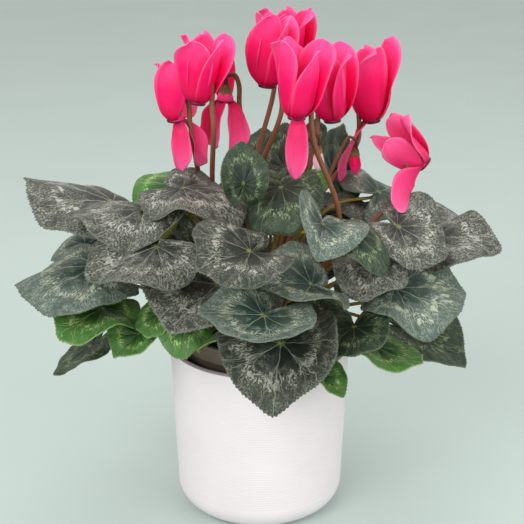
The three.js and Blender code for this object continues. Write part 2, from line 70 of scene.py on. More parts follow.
# %% [markdown]
# ## Light
#
# A shaded terrace gives soft light from all round, a little stronger from above and from the front left.
# A pale world gives the even part. Large area lamps add the direction, because a large lamp close to the
# plant makes soft shadows. The view transform is Standard, so that a strong pink stays a strong pink.

# %% A pale world and three large lamps
scene.view_settings.view_transform = "Standard"


def linear(code):
    """An sRGB hex colour as the linear values that a shader takes."""
    values = [int(code[i:i + 2], 16) / 255 for i in (0, 2, 4)]
    return tuple(v / 12.92 if v <= 0.04045 else ((v + 0.055) / 1.055) ** 2.4 for v in values) + (1,)


world = bpy.data.worlds.new("pale sky")
world.use_nodes = True
scene.world = world
world.node_tree.nodes["Background"].inputs["Color"].default_value = linear("f4f2ef")
world.node_tree.nodes["Background"].inputs["Strength"].default_value = 0.82

for name, place, side, watts in [
    ("key", (-0.8, -1.3, 1.15), 1.1, 17),
    ("fill", (1.2, -0.95, 0.75), 1.2, 9),
    ("top", (0.1, 0.4, 1.7), 1.3, 7),
]:
    lamp = bpy.data.lights.new(name, "AREA")
    lamp.size, lamp.energy = side, watts
    stand = bpy.data.objects.new(name, lamp)
    stand.location = place
    aim = Vector((0, 0, 0.2)) - stand.location
    stand.rotation_euler = aim.to_track_quat("-Z", "Y").to_euler()
    scene.collection.objects.link(stand)
    print(name, "lamp", side, "m wide,", watts, "W")

# %% [markdown]
# ## Small helpers
#
# All sizes below are millimetres, as on a gardener's ruler, and turn to metres when a mesh is made. Each
# piece is a list of points and faces, so one helper turns such lists into a Blender object, and another
# joins several lists into one.
#
# A material is a tree of shader nodes. One helper adds a node with its settings and its links, whatever
# its kind, and two more open and close a material. Node inputs go by name, or by number where a node has
# several inputs of one name: a colour mix takes its share at 0 and its two colours at 6 and 7, and gives
# the mixed colour at output 2. A range takes its old ends at 1 and 2, and its new ends at 3 and 4.

# %% Points and faces to an object
MM = 0.001


def made(name, points, faces, finishes, uv=None, finish_of=None):
    """A smooth mesh object from points in millimetres, riding on the part's only body."""
    mesh = bpy.data.meshes.new(name)
    mesh.from_pydata((np.asarray(points, float) * MM).tolist(), [], [list(map(int, f)) for f in faces])
    for finish in finishes:
        mesh.materials.append(finish)
    if finish_of is not None:
        mesh.polygons.foreach_set("material_index", np.asarray(finish_of, np.int32))
    if uv is not None:
        corners = np.zeros(len(mesh.loops), np.int32)
        mesh.loops.foreach_get("vertex_index", corners)
        layer = mesh.uv_layers.new(name="UVMap")
        layer.data.foreach_set("uv", np.asarray(uv, np.float32)[corners].ravel())
    mesh.polygons.foreach_set("use_smooth", np.ones(len(mesh.polygons), bool))
    mesh.update()
    piece = bpy.data.objects.new(name, mesh)
    scene.collection.objects.link(piece)
    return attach(piece, "root")


def gathered(parts):
    """Several (points, faces, uv) as one."""
    points, faces, uv = [], [], []
    for some_points, some_faces, some_uv in parts:
        faces += [[corner + len(points) for corner in face] for face in some_faces]
        points += list(some_points)
        uv += list(some_uv)
    return points, faces, uv


# %% One shader node
def add(tree, kind, inputs=None, out=0, **settings):
    """Adds a node, sets it, fills or links its inputs and returns one of its outputs.

    The kind is Blender's own name for the node, without the ShaderNode that all of them start with.
    """
    node = tree.nodes.new("ShaderNode" + kind)
    for name, value in settings.items():
        setattr(node, name, value)
    for name, value in (inputs or {}).items():
        if isinstance(value, bpy.types.NodeSocket):
            tree.links.new(value, node.inputs[name])
        else:
            node.inputs[name].default_value = value
    return node.outputs[out]


def new_finish(name):
    """An empty material: its node tree, and the material itself."""
    finish = bpy.data.materials.new(name)
    finish.use_nodes = True
    finish.node_tree.nodes.clear()
    return finish.node_tree, finish


def surface(tree, **inputs):
    """Closes a material with its main shader. An underscore in an input's name stands for a space."""
    named = {key.replace("_", " "): value for key, value in inputs.items()}
    shader = add(tree, "BsdfPrincipled", named)
    output = tree.nodes.new("ShaderNodeOutputMaterial")
    tree.links.new(shader, output.inputs["Surface"])


# %% [markdown]
# ## Floor
#
# The plant stands on a plain pale floor, wide enough to fill the picture from every side. It is a shallow
# disc with a faint mottle of about 17 cm, like matt lacquered board, so that it isn't one flat colour.

# %% A surface turned about the upright axis
def turned(profile, sides, wobble=None):
    """Points, faces and UVs of a lathe shape. The profile runs up the outside, then down the inside.

    A point of the profile on the axis becomes one point, and the faces that meet there are triangles.
    """
    points, faces, rings, uv = [], [], [], []
    for k, (away, height) in enumerate(profile):
        ring = []
        for j in range(1 if away < 1e-6 else sides):
            angle = 2 * math.pi * j / sides
            point = (away * math.cos(angle), away * math.sin(angle), height)
            points.append(wobble(point, angle) if wobble else point)
            uv.append((j / sides, k / (len(profile) - 1)))
            ring.append(len(points) - 1)
        rings.append(ring if len(ring) > 1 else ring * sides)
    for low, high in zip(rings, rings[1:]):
        for j in range(sides):
            k = (j + 1) % sides
            faces.append(list(dict.fromkeys([low[j], low[k], high[k], high[j]])))
    return points, [face for face in faces if len(face) > 2], uv


def matt_lacquer():
    """Matt lacquer on board: a pale, almost even colour with no clear reflection."""
    tree, finish = new_finish("matt lacquered board")
    where = add(tree, "TexCoord", out="Object")
    mottle = add(tree, "TexNoise", {"Vector": where, "Scale": 6, "Detail": 3}, out="Fac")
    two_tones = {0: mottle, 6: linear("bccbc7"), 7: linear("c4d3cf")}
    colour = add(tree, "Mix", two_tones, out=2, data_type="RGBA")
    surface(tree, Base_Color=colour, Roughness=0.75)
    return finish


FLOOR_RADIUS = 15000
points, faces, uv = turned([(0, -2), (FLOOR_RADIUS, -2), (FLOOR_RADIUS, -0.2), (0, -0.2)], 96)
floor = made("floor", points, faces, [matt_lacquer()], uv)
floor.parent = None
print("floor", round(floor.dimensions.x), "m across")

# %% [markdown]
# ## Planter
#
# The planter is a cast stoneware pot with a matt white glaze. Fine ribs run round it and the lip is round.
# The ribs are real geometry, drawn 2 mm apart, a little coarser than real ones, so that they show. Each has
# four rings of points, so that its flanks tilt up and down: that makes the faint lines of light and shade,
# and it is cheap on a lathe shape.

# %% The planter's profile
def arc(centre_away, centre_height, radius, start, end, steps):
    """Points on a quarter or half round, by angle in degrees."""
    turns = [math.radians(start + (end - start) * i / steps) for i in range(steps + 1)]
    return [(centre_away + radius * math.cos(t), centre_height + radius * math.sin(t)) for t in turns]


FOOT_RADIUS, TOP_RADIUS, PLANTER_HEIGHT = 63, 68, 132
WALL, BOTTOM, HEEL, LIP = 3.6, 5, 18, 1.7
RIB, RIB_DEPTH, RIBS_FROM, RIBS_TO = 2, 0.15, 19, 129


def planter_side(height):
    """The planter's outer radius at a height. Its wall leans out by a couple of degrees."""
    return FOOT_RADIUS + (TOP_RADIUS - FOOT_RADIUS) * height / PLANTER_HEIGHT


heel_centre = planter_side(HEEL) - HEEL
outside = [(0, 0), (30, 0)] + arc(heel_centre, HEEL, HEEL, -90, 0, 14)
ribs = int((RIBS_TO - RIBS_FROM) / RIB)
for i in range(4 * ribs):
    height = RIBS_FROM + i * RIB / 4
    outside.append((planter_side(height) - RIB_DEPTH * (0, 0.5, 1, 0.5)[i % 4], height))
lip_edge = TOP_RADIUS - 0.1
lip = [(lip_edge, RIBS_TO + 1)] + arc(lip_edge - LIP, PLANTER_HEIGHT - LIP, LIP, 0, 180, 8)
lip += [(lip_edge - 3.5, RIBS_TO)]
inside = [(planter_side(60) - WALL, 60)]
inside += arc(heel_centre, BOTTOM + HEEL - WALL, HEEL - WALL, 0, -90, 10) + [(0, BOTTOM)]
print("planter profile", len(outside + lip + inside), "points,", ribs, "ribs")


# %% [markdown]
# ### Matt glaze and a lip painted in shade
#
# A matt glaze is a thin glassy coat with a fine crystal skin. It is nearly white with a breath of pink, and
# it gives broad soft highlights. A faint cloudiness of about 3 cm breaks up the white, and the tiny
# bumps of the glaze are drawn at 1.5 mm, coarser than real ones, so that they show at all. The lip is
# painted a darker, mauve grey: painted shade for the thin shadow line along the inner edge of the rim.

# %% Matt white glaze, and a grey lip painted as shade
def matt_glaze():
    """Glaze that was sprayed on and fired matt: soft white, with a broad dull highlight."""
    tree, finish = new_finish("matt white glaze")
    where = add(tree, "TexCoord", out="Object")
    cloud = add(tree, "TexNoise", {"Vector": where, "Scale": 30, "Detail": 2}, out="Fac")
    colour = add(tree, "Mix", {0: cloud, 6: linear("e5dcdf"), 7: linear("eee6ea")}, out=2, data_type="RGBA")
    skin = add(tree, "TexNoise", {"Vector": where, "Scale": 1 / 0.0015, "Detail": 2}, out="Fac")
    gloss = add(tree, "MapRange", {"Value": skin, 3: 0.42, 4: 0.56})
    bump = add(tree, "Bump", {"Height": skin, "Strength": 0.05, "Distance": 0.0002})
    surface(tree, Base_Color=colour, Roughness=gloss, Normal=bump, IOR=1.5)
    return finish


def lip_painted_shade():
    """The lip, painted a matt mauve grey as shade along the rim's inner edge, with a grit drawn at 1 mm."""
    tree, finish = new_finish("wiped stoneware")
    where = add(tree, "TexCoord", out="Object")
    grit = add(tree, "TexNoise", {"Vector": where, "Scale": 1 / 0.001, "Detail": 3}, out="Fac")
    # Both greys are painted shade, for the thin shadow line along the inner edge of the rim.
    colour = add(tree, "Mix", {0: grit, 6: linear("857b7d"), 7: linear("a0979a")}, out=2, data_type="RGBA")
    bump = add(tree, "Bump", {"Height": grit, "Strength": 0.2, "Distance": 0.0002})
    surface(tree, Base_Color=colour, Roughness=0.7, Normal=bump, IOR=1.5)
    return finish


SIDES = 128
points, faces, uv = turned(outside + lip + inside, SIDES)
# The rings of the lip take the second finish, the grey that is painted shade.
lip_shade = range(len(outside) + 1, len(outside) + len(lip))
finish_of = [int(i // SIDES in lip_shade) for i in range(len(faces))]
planter = made("planter_ribbed", points, faces, [matt_glaze(), lip_painted_shade()], uv, finish_of)
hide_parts("planter")
print("planter", [round(v * 1000) for v in planter.dimensions], "mm")

# %% [markdown]
# ## Nursery pot
#
# Inside stands the thin pot that the plant was grown in. It is thermoformed polypropylene, taupe brown and
# a little glossy, with a stepped band below the lip. Four drain holes are cut in its floor with a Boolean
# modifier, as a punch would do it, and the cutters are then removed.

# %% The nursery pot's profile
# Each pair of numbers below is a corner: its distance from the axis and its height.
POT_BASE, POT_TOP = 5.3, 147
band = POT_TOP - 13
pot_outside = [(0, POT_BASE), (41, POT_BASE)] + arc(42, POT_BASE + 2, 2, -90, 0, 4)
pot_outside += [(57.5, band - 0.6), (58.2, band), (59.8, band), (60, band + 0.5)]
pot_outside += [(60, POT_TOP - 2.8)] + arc(60.1, POT_TOP - 1.2, 1.1, -60, 90, 6)
pot_inside = [(58.9, POT_TOP - 0.3), (58.6, POT_TOP - 1.5), (58.6, band + 2), (56.1, band)]
pot_inside += [(42.6, POT_BASE + 2), (0, POT_BASE + 2)]


def moulded_plastic():
    """Polypropylene from a warm mould: taupe, slightly waxy, with dusty patches of about 11 mm."""
    tree, finish = new_finish("moulded polypropylene")
    where = add(tree, "TexCoord", out="Object")
    dust = add(tree, "TexNoise", {"Vector": where, "Scale": 90, "Detail": 4}, out="Fac")
    colour = add(tree, "Mix", {0: dust, 6: linear("62564a"), 7: linear("7a6e60")}, out=2, data_type="RGBA")
    gloss = add(tree, "MapRange", {"Value": dust, 3: 0.38, 4: 0.6})
    bump = add(tree, "Bump", {"Height": dust, "Strength": 0.1, "Distance": 0.0003})
    surface(tree, Base_Color=colour, Roughness=gloss, Normal=bump, IOR=1.49)
    return finish


# %% Make the nursery pot and punch its drain holes
points, faces, uv = turned(pot_outside + pot_inside, 96)
nursery_pot = made("nursery_pot_thin", points, faces, [moulded_plastic()], uv)
DRAIN_CIRCLE, DRAIN_RADIUS = 26, 5
cutters = []
for i in range(4):
    x, y = DRAIN_CIRCLE * math.cos(i * math.pi / 2), DRAIN_CIRCLE * math.sin(i * math.pi / 2)
    points, faces, uv = turned([(0, 0), (DRAIN_RADIUS, 0), (DRAIN_RADIUS, 12), (0, 12)], 24)
    cutters.append(made(f"punch_{i}", np.array(points) + (x, y, 0), faces, [], uv))
    cut = nursery_pot.modifiers.new(f"drain hole {i}", "BOOLEAN")
    cut.operation, cut.solver, cut.object = "DIFFERENCE", "EXACT", cutters[-1]
shaped = bpy.data.meshes.new_from_object(nursery_pot.evaluated_get(bpy.context.evaluated_depsgraph_get()))
nursery_pot.modifiers.clear()
nursery_pot.data = shaped
for cutter in cutters:
    bpy.data.objects.remove(cutter)
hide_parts("nursery_pot")
print("nursery pot", len(shaped.polygons), "faces with its 4 drain holes")

# %% [markdown]
# ## Potting soil
#
# Peat fills the pot to 10 mm below the rim. Two noises move the mesh up and down, in lumps of about 11 mm
# and in finer ones of 3 mm. Small loose bits lie on it: dark peat, a few chips of bark and some white
# perlite, strewn with a fixed seed.

# %% Damp peat
def peat_finish(name, dark, light):
    """Damp peat: dark, rough, with fibres lighter than the crumb. The fibres are drawn at about 1 mm."""
    tree, finish = new_finish(name)
    where = add(tree, "TexCoord", out="Object")
    fibres = {"Vector": where, "Scale": 1 / 0.0012, "Detail": 6, "Roughness": 0.7}
    crumb = add(tree, "TexNoise", fibres, out="Fac")
    level = add(tree, "MapRange", {"Value": crumb, 1: 0.35, 2: 0.7})
    colour = add(tree, "Mix", {0: level, 6: linear(dark), 7: linear(light)}, out=2, data_type="RGBA")
    bump = add(tree, "Bump", {"Height": crumb, "Strength": 0.8, "Distance": 0.001})
    surface(tree, Base_Color=colour, Roughness=0.92, Normal=bump)
    return finish


SOIL_RADIUS, SOIL_FOOT, SOIL_EDGE = 58, 7.7, 135


def lumpy(point, angle):
    """Lifts the top of the soil where the noise is high, and less and less near the pot's wall."""
    x, y, z = point
    if z < SOIL_EDGE - 1:
        return point
    rough = 1.6 * noise.noise(Vector((x, y, 0)) / 11) + 0.8 * noise.noise(Vector((x, y, 5)) / 3)
    return (x, y, z + rough * min(1, (SOIL_RADIUS - math.hypot(x, y)) / 6))


# The soil meets the tuber 25 mm from the middle, and a hollow below the tuber closes the shape.
soil_profile = [(0, SOIL_FOOT), (42, SOIL_FOOT), (55.7, SOIL_EDGE - 2)]
soil_profile += [(SOIL_RADIUS - i * 2.3, SOIL_EDGE + 2 * min(1, i / 6)) for i in range(14)]
soil_profile += [(24.6, 132), (0, 122)]
points, faces, uv = turned(soil_profile, 120, lumpy)
soil = made("peat", points, faces, [peat_finish("damp peat", "1c1511", "4a382a")], uv)
print("soil", round(soil.dimensions.x * 1000), "mm across")

# %% Strew the crumbs
# How many crumbs, how far from the middle they lie, and how high.
CRUMBS, STREWN, CRUMB_LEVEL = 420, 56, 137.2
random.seed(7)
crumb_finishes = [
    peat_finish("peat crumbs", "241a13", "54402f"),
    peat_finish("bark chips", "4b3524", "80603f"),
    peat_finish("perlite", "cfcbc2", "efece6"),
]
bits, bit_finish = [], []
for i in range(CRUMBS):
    away, angle = STREWN * math.sqrt(random.uniform(0.22, 1)), random.uniform(0, 2 * math.pi)
    kind = random.choices([0, 1, 2], [6, 2, 1])[0]
    size = random.uniform(0.7, 1.9) * (1.5 if kind == 1 else 1)
    flat = [random.uniform(0.5, 1.2), random.uniform(0.5, 1.2), random.uniform(0.35, 0.8)]
    centre = np.array([away * math.cos(angle), away * math.sin(angle), CRUMB_LEVEL])
    points, faces, uv = turned([(0, -1), (0.8, -0.55), (1, 0.1), (0.6, 0.75), (0, 1)], 6)
    turn = random.uniform(0, math.pi)
    tilt = [[math.cos(turn), math.sin(turn), 0], [-math.sin(turn), math.cos(turn), 0.3], [0, 0, 1]]
    spun = np.array(points) @ np.array(tilt)
    jitter = np.array([[random.uniform(0.75, 1.2)] for _ in points])
    bits.append(((spun * flat * size * jitter + centre).tolist(), faces, uv))
    bit_finish += [kind] * len(faces)
points, faces, uv = gathered(bits)
crumbs = made("peat_crumbs", points, faces, crumb_finishes, uv, bit_finish)
for piece in (soil, crumbs):
    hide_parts("potting_soil")
print(len(bits), "crumbs on the soil")

# %% [markdown]
# ## The shape of a leaf
#
# A cyclamen leaf is a thick heart-shaped blade. The stalk arrives at a notch, and the veins fan out from
# there, so the natural way to draw it is by angle round the stalk and share of the way out to the edge.
# The same two numbers then serve as UVs, and every vein and marking can follow them. The bends below are
# those of the solid model, and the outline is a touch rounder with a sharper tip. The mesh adds what the
# solid leaves out: the toothed edge, small waves along it, lobes that curl, and the shallow puckers
# between the veins.

# %% Outline and bends
def sine(degrees):
    """The sine of an angle in degrees."""
    return math.sin(math.radians(degrees))


def cosine(degrees):
    """The cosine of an angle in degrees."""
    return math.cos(math.radians(degrees))


def pointing(azimuth, elevation):
    """The unit vector at an azimuth from +X and an elevation above the horizon, in degrees."""
    flat = cosine(elevation)
    return np.array([cosine(azimuth) * flat, sine(azimuth) * flat, sine(elevation)])


def mix(a, b, t):
    """The value at a share t of the way from a to b."""
    return a + (b - a) * t


def chance(row, column):
    """A repeatable number from 0 to 1 for each pair of whole numbers."""
    wave = math.sin(row * 12.9898 + column * 78.233) * 43758.5453
    return wave - math.floor(wave)


def bent(distance, curvature):
    """How far along and how far down a point lies once a flat strip bends."""
    if abs(curvature) < 1e-6:
        return distance, distance * 0
    return np.sin(curvature * distance) / curvature, (np.cos(curvature * distance) - 1) / curvature


def leaf_edge(angle):
    """How far the edge lies from the stalk, as a share of the length. The tip is at 0, the notch at pi."""
    away = np.abs(angle)
    heart = 0.755 + 0.165 * np.cos(away) + 0.025 * np.cos(2 * away)
    tip = 0.09 * np.exp(-((away / 0.17) ** 2))
    notch = 0.9 * np.exp(-(((math.pi - away) / 0.25) ** 2))
    return (heart + tip) * (1 - notch)


# Droop bends the tip down, arch bends both sides down, fold lifts the sides and wave ripples the edge.
HABITS = {
    "dome": (0.7, 0.8, 0, 0.03), "shield": (0.45, 0.35, 0, 0.04), "roof": (0.4, 0.3, -0.35, 0.04),
    "trough": (0.4, -0.1, 0.35, 0.04), "wavy": (0.45, 0.3, 0, 0.12), "saucer": (-0.15, -0.3, 0, 0.04),
    "cup": (-0.4, -0.6, 0, 0.05), "hooked": (1, 0.5, 0, 0.05), "flat": (0.15, 0.1, 0, 0.04),
}
print(len(HABITS), "ways that a leaf is held")

# %% [markdown]
# ### Where each leaf is
#
# Forty leaves were placed to match the picture, and five more fill the back. Each row gives the
# place of the stalk's end in millimetres, the direction of the tip, how far it dips and rolls, the length,
# the width as a share of the usual, the habit, where the ripple starts, and the kind of marking.

# %% The leaves, one row each
LEAVES = [
    ("back_upright_small", 41, 57, 268, 65, -65, -25, 21, 0.85, "saucer", 60, "green"),
    ("back_upright_right", 58, 58, 243, 50, -105, -25, 41, 0.9, "shield", 300, "green"),
    ("back_mid_olive", 2, 43, 261, 85, -50, 10, 30, 0.9, "roof", 180, "green"),
    ("back_upright_mid", 19, 32, 258, 85, -40, -4, 38, 0.75, "saucer", 60, "green"),
    ("right_back_top", 88, 15, 244, 55, 0, 32, 43, 0.95, "wavy", 180, "marbled"),
    ("right_back_olive_hi", 126, 31, 222, 40, 0, 10, 39, 0.95, "wavy", 0, "silvered"),
    ("back_left_green", -66, 23, 246, 145, -5, -20, 35, 0.95, "wavy", 60, "young"),
    ("left_dark_behind", -131, 15, 202, 150, -15, -20, 32, 0.95, "hooked", 240, "marbled"),
    ("right_back_olive_lo", 126, 20, 187, 0, 0, 5, 32, 0.95, "hooked", 180, "young"),
    ("right_far", 125, -14, 218, -18, -14, 20, 47, 0.9, "wavy", 300, "silvered"),
    ("left_far", -107, -4, 242, 170, -25, 0, 69, 1, "dome", 60, "silvered"),
    ("upper_dark", 12, 6, 264, -85, -8, 4, 26, 1, "trough", 60, "green"),
    ("right_grey_top", 79, 19, 234, -145, -15, -6, 33, 0.9, "wavy", 30, "silvered"),
    ("left_hanging", -128, -6, 129, -155, 37, 8, 33, 0.9, "saucer", 240, "green"),
    ("right_lower_back", 110, -1, 140, -30, 10, 5, 51, 1, "trough", 120, "green"),
    ("small_round_top", 34, -16, 263, -40, -20, 30, 17, 1.06, "wavy", 0, "young"),
    ("upper_left", -54, -34, 262, -35, -4, 5, 48, 1, "wavy", 300, "silvered"),
    ("upright_mid", -11, -54, 271, 95, -72, 5, 28, 0.8, "saucer", 120, "green"),
    ("left_lower", -116, -32, 202, -185, -5, -10, 60, 1.06, "shield", 0, "marbled"),
    ("left_upper", -80, -46, 250, -168, -6, -8, 51, 0.8, "shield", 0, "silvered"),
    ("right_upper_big", 97, -44, 237, -20, 25, 20, 38, 1.08, "saucer", 120, "silvered"),
    ("left_green", -113, -38, 173, -135, 5, 0, 41, 1.06, "wavy", 180, "young"),
    ("right_lower_big", 96, -53, 194, 10, 0, 15, 51, 1, "flat", 240, "marbled"),
    ("upper_mid", 15, -38, 264, -80, 18, 10, 38, 1, "shield", 0, "green"),
    ("left_dark_small", -71, -54, 177, -115, 35, 10, 23, 1, "saucer", 180, "young"),
    ("left_small", -86, -51, 158, -145, 25, -15, 25, 1.08, "trough", 60, "young"),
    ("right_bright", 82, -59, 153, -35, 20, -5, 37, 1.04, "saucer", 60, "young"),
    ("left_mid", -70, -70, 231, -158, 10, -18, 50, 1.06, "flat", 240, "silvered"),
    ("right_mid_low", 78, -62, 217, -100, 20, -10, 32, 1.1, "wavy", 0, "silvered"),
    ("right_mid", 63, -81, 245, -30, 20, 10, 33, 1.08, "dome", 180, "green"),
    ("rim_left", -52, -67, 172, -95, 10, 15, 26, 1, "hooked", 0, "young"),
    ("rim_small_right", 43, -73, 136, -30, 25, 5, 22, 1, "trough", 60, "young"),
    ("centre_right_round", 42, -84, 252, -90, 14, -30, 32, 1.1, "trough", 60, "marbled"),
    ("right_low_round", 66, -73, 173, -95, 15, 10, 32, 1.1, "saucer", 180, "green"),
    ("front_left_big", -29, -60, 199, -115, 0, -14, 63, 1.08, "trough", 60, "silvered"),
    ("centre", 35, -91, 211, -145, -20, -30, 41, 1.08, "trough", 120, "marbled"),
    ("centre_left", -6, -103, 239, -140, -5, -20, 43, 1.08, "trough", 0, "dusted"),
    ("front_low", 15, -95, 170, -100, 30, 0, 50, 1.1, "trough", 300, "dusted"),
    ("rim_front", -9, -64, 173, -150, -4, 23, 42, 0.8, "dome", 0, "young"),
    ("front_mid", 3, -120, 201, -125, 5, -17, 47, 1.08, "cup", 180, "marbled"),
]
# The back leaves stand in three tiers. Each row: distance from the middle, height, habit and marking.
TIERS = [(60, 226, "shield", "silvered"), (74, 190, "dome", "marbled"), (80, 158, "flat", "dusted")]
BACK = 5
back = []
for i in range(BACK):
    azimuth, tier = mix(38, 160, (i + 0.5) / BACK), i % len(TIERS)
    away, height, habit, kind = TIERS[tier]
    x, y, _ = pointing(azimuth, 0) * away
    pose = (azimuth + mix(-18, 18, chance(i, 3)), 8 + 6 * tier, mix(-12, 12, chance(i, 5)))
    length = mix(44, 54, chance(i, 4))
    back.append((f"back_{i + 1}", x, y, height, *pose, length, 1, habit, 60 * i, kind))
LEAVES = back + LEAVES
print(len(LEAVES), "leaves, the longest", max(row[7] for row in LEAVES), "mm from stalk to tip")


# %% A leaf's own directions and the points of its blade
def leaf_frame(row):
    """Three unit vectors of a leaf: towards its tip, to its left, and up out of its face."""
    heading, dip, roll = row[4:7]
    along, level = pointing(heading, -dip), pointing(heading + 90, 0)
    above = np.cross(along, level)
    left = level * cosine(roll) + above * sine(roll)
    return along, left, above * cosine(roll) - level * sine(roll)


def leaf_points(row, angle, share, rise_more, reach_more):
    """Points of the blade's middle surface, for arrays of angles and shares, with extra rise and reach."""
    length, width = row[7], row[8]
    droop, arch, fold, wave = HABITS[row[9]]
    out = leaf_edge(angle) * share * length * reach_more
    ahead, aside = out * np.cos(angle), out * np.sin(angle) * width
    ripple = wave * length * share ** 2 * np.sin(4 * angle + math.radians(row[10]))
    spread, sag = bent(aside, arch / length)
    reach, fall = bent(ahead, droop / length)
    rise = ripple + fold * np.abs(aside) + sag + fall + rise_more
    along, left, up = leaf_frame(row)
    return np.array(row[1:4]) + np.outer(reach, along) + np.outer(spread, left) + np.outer(rise, up)


# %% Lobes that curl
# Where a lobe is, in degrees from the tip, and how far it curls up, as a share of the leaf's length. Old
# leaves of this plant fold at the sides of the notch, and the tips of its large ones hang.
CURLS = {
    "front_mid": [(108, 0.34), (-35, -0.14), (-120, 0.1)],
    "left_mid": [(-150, 0.42), (60, 0.1)],
    "centre_left": [(105, 0.2), (55, -0.3), (-70, -0.16)],
    "upper_left": [(40, -0.24), (150, 0.15)],
    "left_upper": [(70, -0.26), (-80, -0.14)],
    "left_lower": [(120, 0.16), (-25, -0.14), (35, -0.14)],
    "upright_mid": [(95, 0.34), (-95, 0.36), (0, -0.1)],
    "upper_mid": [(90, 0.2), (-60, -0.2)],
    "right_mid": [(100, 0.22), (-75, 0.18), (0, -0.2)],
    "centre_right_round": [(85, 0.24), (-95, 0.2)],
    "centre": [(-60, -0.18), (60, 0.15)],
    "front_left_big": [(95, -0.2), (-100, 0.16)],
    "right_upper_big": [(-40, -0.16), (70, 0.15)],
    "right_lower_big": [(-70, -0.22), (40, 0.12)],
    "front_low": [(100, 0.14), (-105, 0.1), (-30, -0.08)],
    "right_low_round": [(110, 0.18), (-40, -0.12)],
}
print(len(CURLS), "leaves have curled lobes")

# %% The fine mesh of one leaf
VEINS = 9
LIFTS = 4
# Teeth of the edge for each millimetre of a leaf's length, and half the slit at the notch, in radians.
TEETH = 2.5
SLIT = 0.03
# The rings of the grid, closer together at the stalk and at the edge.
SHARES = [0.015, 0.07, 0.14, 0.22, 0.3, 0.39, 0.48, 0.57, 0.66, 0.75, 0.83, 0.9, 0.955, 1]


def leaf_mesh(row):
    """A polar grid with one tooth of the edge for every two points round it, about 2 mm apart.

    The face rises and falls by puckers between the veins, by four broad lifts that differ from leaf to
    leaf, by the curled lobes of its own row, and by waves that grow towards the edge.
    """
    length, phase = row[7], 2 * math.pi * chance(row[4], row[7])
    count = 2 * round(TEETH * length) + 1
    turn = np.linspace(-math.pi + SLIT, math.pi - SLIT, count)
    share, angle = [grid.ravel() for grid in np.meshgrid(SHARES, turn, indexing="ij")]
    pucker = -0.45 * np.cos(VEINS * angle) * np.sin(np.pi * share)
    for k in range(LIFTS):
        way = mix(-2.6, 2.6, (k + chance(row[4] + k, row[7])) / LIFTS)
        lift = mix(-0.16, 0.17, chance(row[7] + k, row[4])) * length
        pucker += lift * share ** 3 * np.exp(-(((angle - way) / 0.5) ** 2))
    for way, lift in CURLS.get(row[0], []):
        apart = np.angle(np.exp(1j * (angle - math.radians(way))))
        pucker += lift * length * share ** 2 * np.exp(-((apart / 0.62) ** 2))
    waves = 0.03 * length * share ** 3 * np.sin(5 * angle + phase) - 0.05 * length * share ** 6
    waves += 0.014 * length * share ** 4 * np.sin(11 * angle + 2 * phase)
    step = np.arange(len(angle)) % count
    tooth = np.where(step % 2 == 0, 0.99, 1 + 0.014 * np.abs(np.sin(3.7 * step)))
    reach = np.where(share > 0.99, tooth, 1) * (1 + 0.028 * share * np.sin(5 * angle + 2 * phase))
    points = leaf_points(row, angle, share, pucker + waves, reach)
    faces = [list(range(count))]
    for i in range(len(SHARES) - 1):
        for j in range(count - 1):
            a = i * count + j
            faces.append([a, a + count, a + count + 1, a + 1])
    uv = np.stack([angle / (2 * math.pi) + 0.5, share], 1)
    return points, faces, uv


points, faces, uv = leaf_mesh(LEAVES[-1])
print("a leaf has", len(faces), "faces before it gets its thickness")

# %% [markdown]
# ## Leaf finishes
#
# The blade is a living leaf with a waxy skin. Five kinds are told apart on this plant: the oldest leaves
# are covered in silver dust, others keep only a marbled ring, some are plain dark green, and the youngest
# are bright green with a few yellow strokes. They share one material recipe. Its patterns are computed
# from the leaf's own angle and share:
#
# - nine main veins leave the stalk and fork twice on their way to the edge,
# - a feathered ring of pale strokes lies about two thirds of the way out,
# - the silver dust is a speckle of 1.4 mm. Real air pockets are a third of that and would not show,
# - the rim is a thin pale line along the teeth.

# %% Veins from the leaf's angle and share
def vein_lines(tree, around, outward, fade):
    """White where a vein runs: nine main veins, then two generations of forks.

    A leaf is cut into nine sectors with a main vein in the middle of each. A fork starts at a share of the
    way out and drifts aside from there, on both sides at once.
    """
    turns = add(tree, "Math", {0: around, 1: float(VEINS)}, operation="MULTIPLY")
    part = add(tree, "Math", {0: turns}, operation="FRACT")
    from_main = add(tree, "Math", {0: part, 1: 0.5}, operation="SUBTRACT")
    aside = add(tree, "Math", {0: from_main}, operation="ABSOLUTE")
    lines = None
    for start, spread, width in [(0, 0, 0.009), (0.26, 0.44, 0.007), (0.52, 0.62, 0.006)]:
        past = add(tree, "Math", {0: outward, 1: start}, operation="SUBTRACT", use_clamp=True)
        drift = add(tree, "Math", {0: past, 1: float(spread)}, operation="MULTIPLY")
        off = add(tree, "Math", {0: aside, 1: drift}, operation="SUBTRACT")
        near = add(tree, "Math", {0: off}, operation="ABSOLUTE")
        true_width = add(tree, "Math", {0: near, 1: outward}, operation="MULTIPLY")
        near_to_far = {"Value": true_width, 1: 0.0, 2: 2 * width, 3: 1.0, 4: 0.0}
        line = add(tree, "MapRange", near_to_far, interpolation_type="SMOOTHSTEP")
        lines = line if lines is None else add(tree, "Math", {0: lines, 1: line}, operation="MAXIMUM")
    strength = add(tree, "MapRange", {"Value": outward, 1: 0.1, 2: 0.7, 3: 0.6, 4: fade})
    return add(tree, "Math", {0: lines, 1: strength}, operation="MULTIPLY")


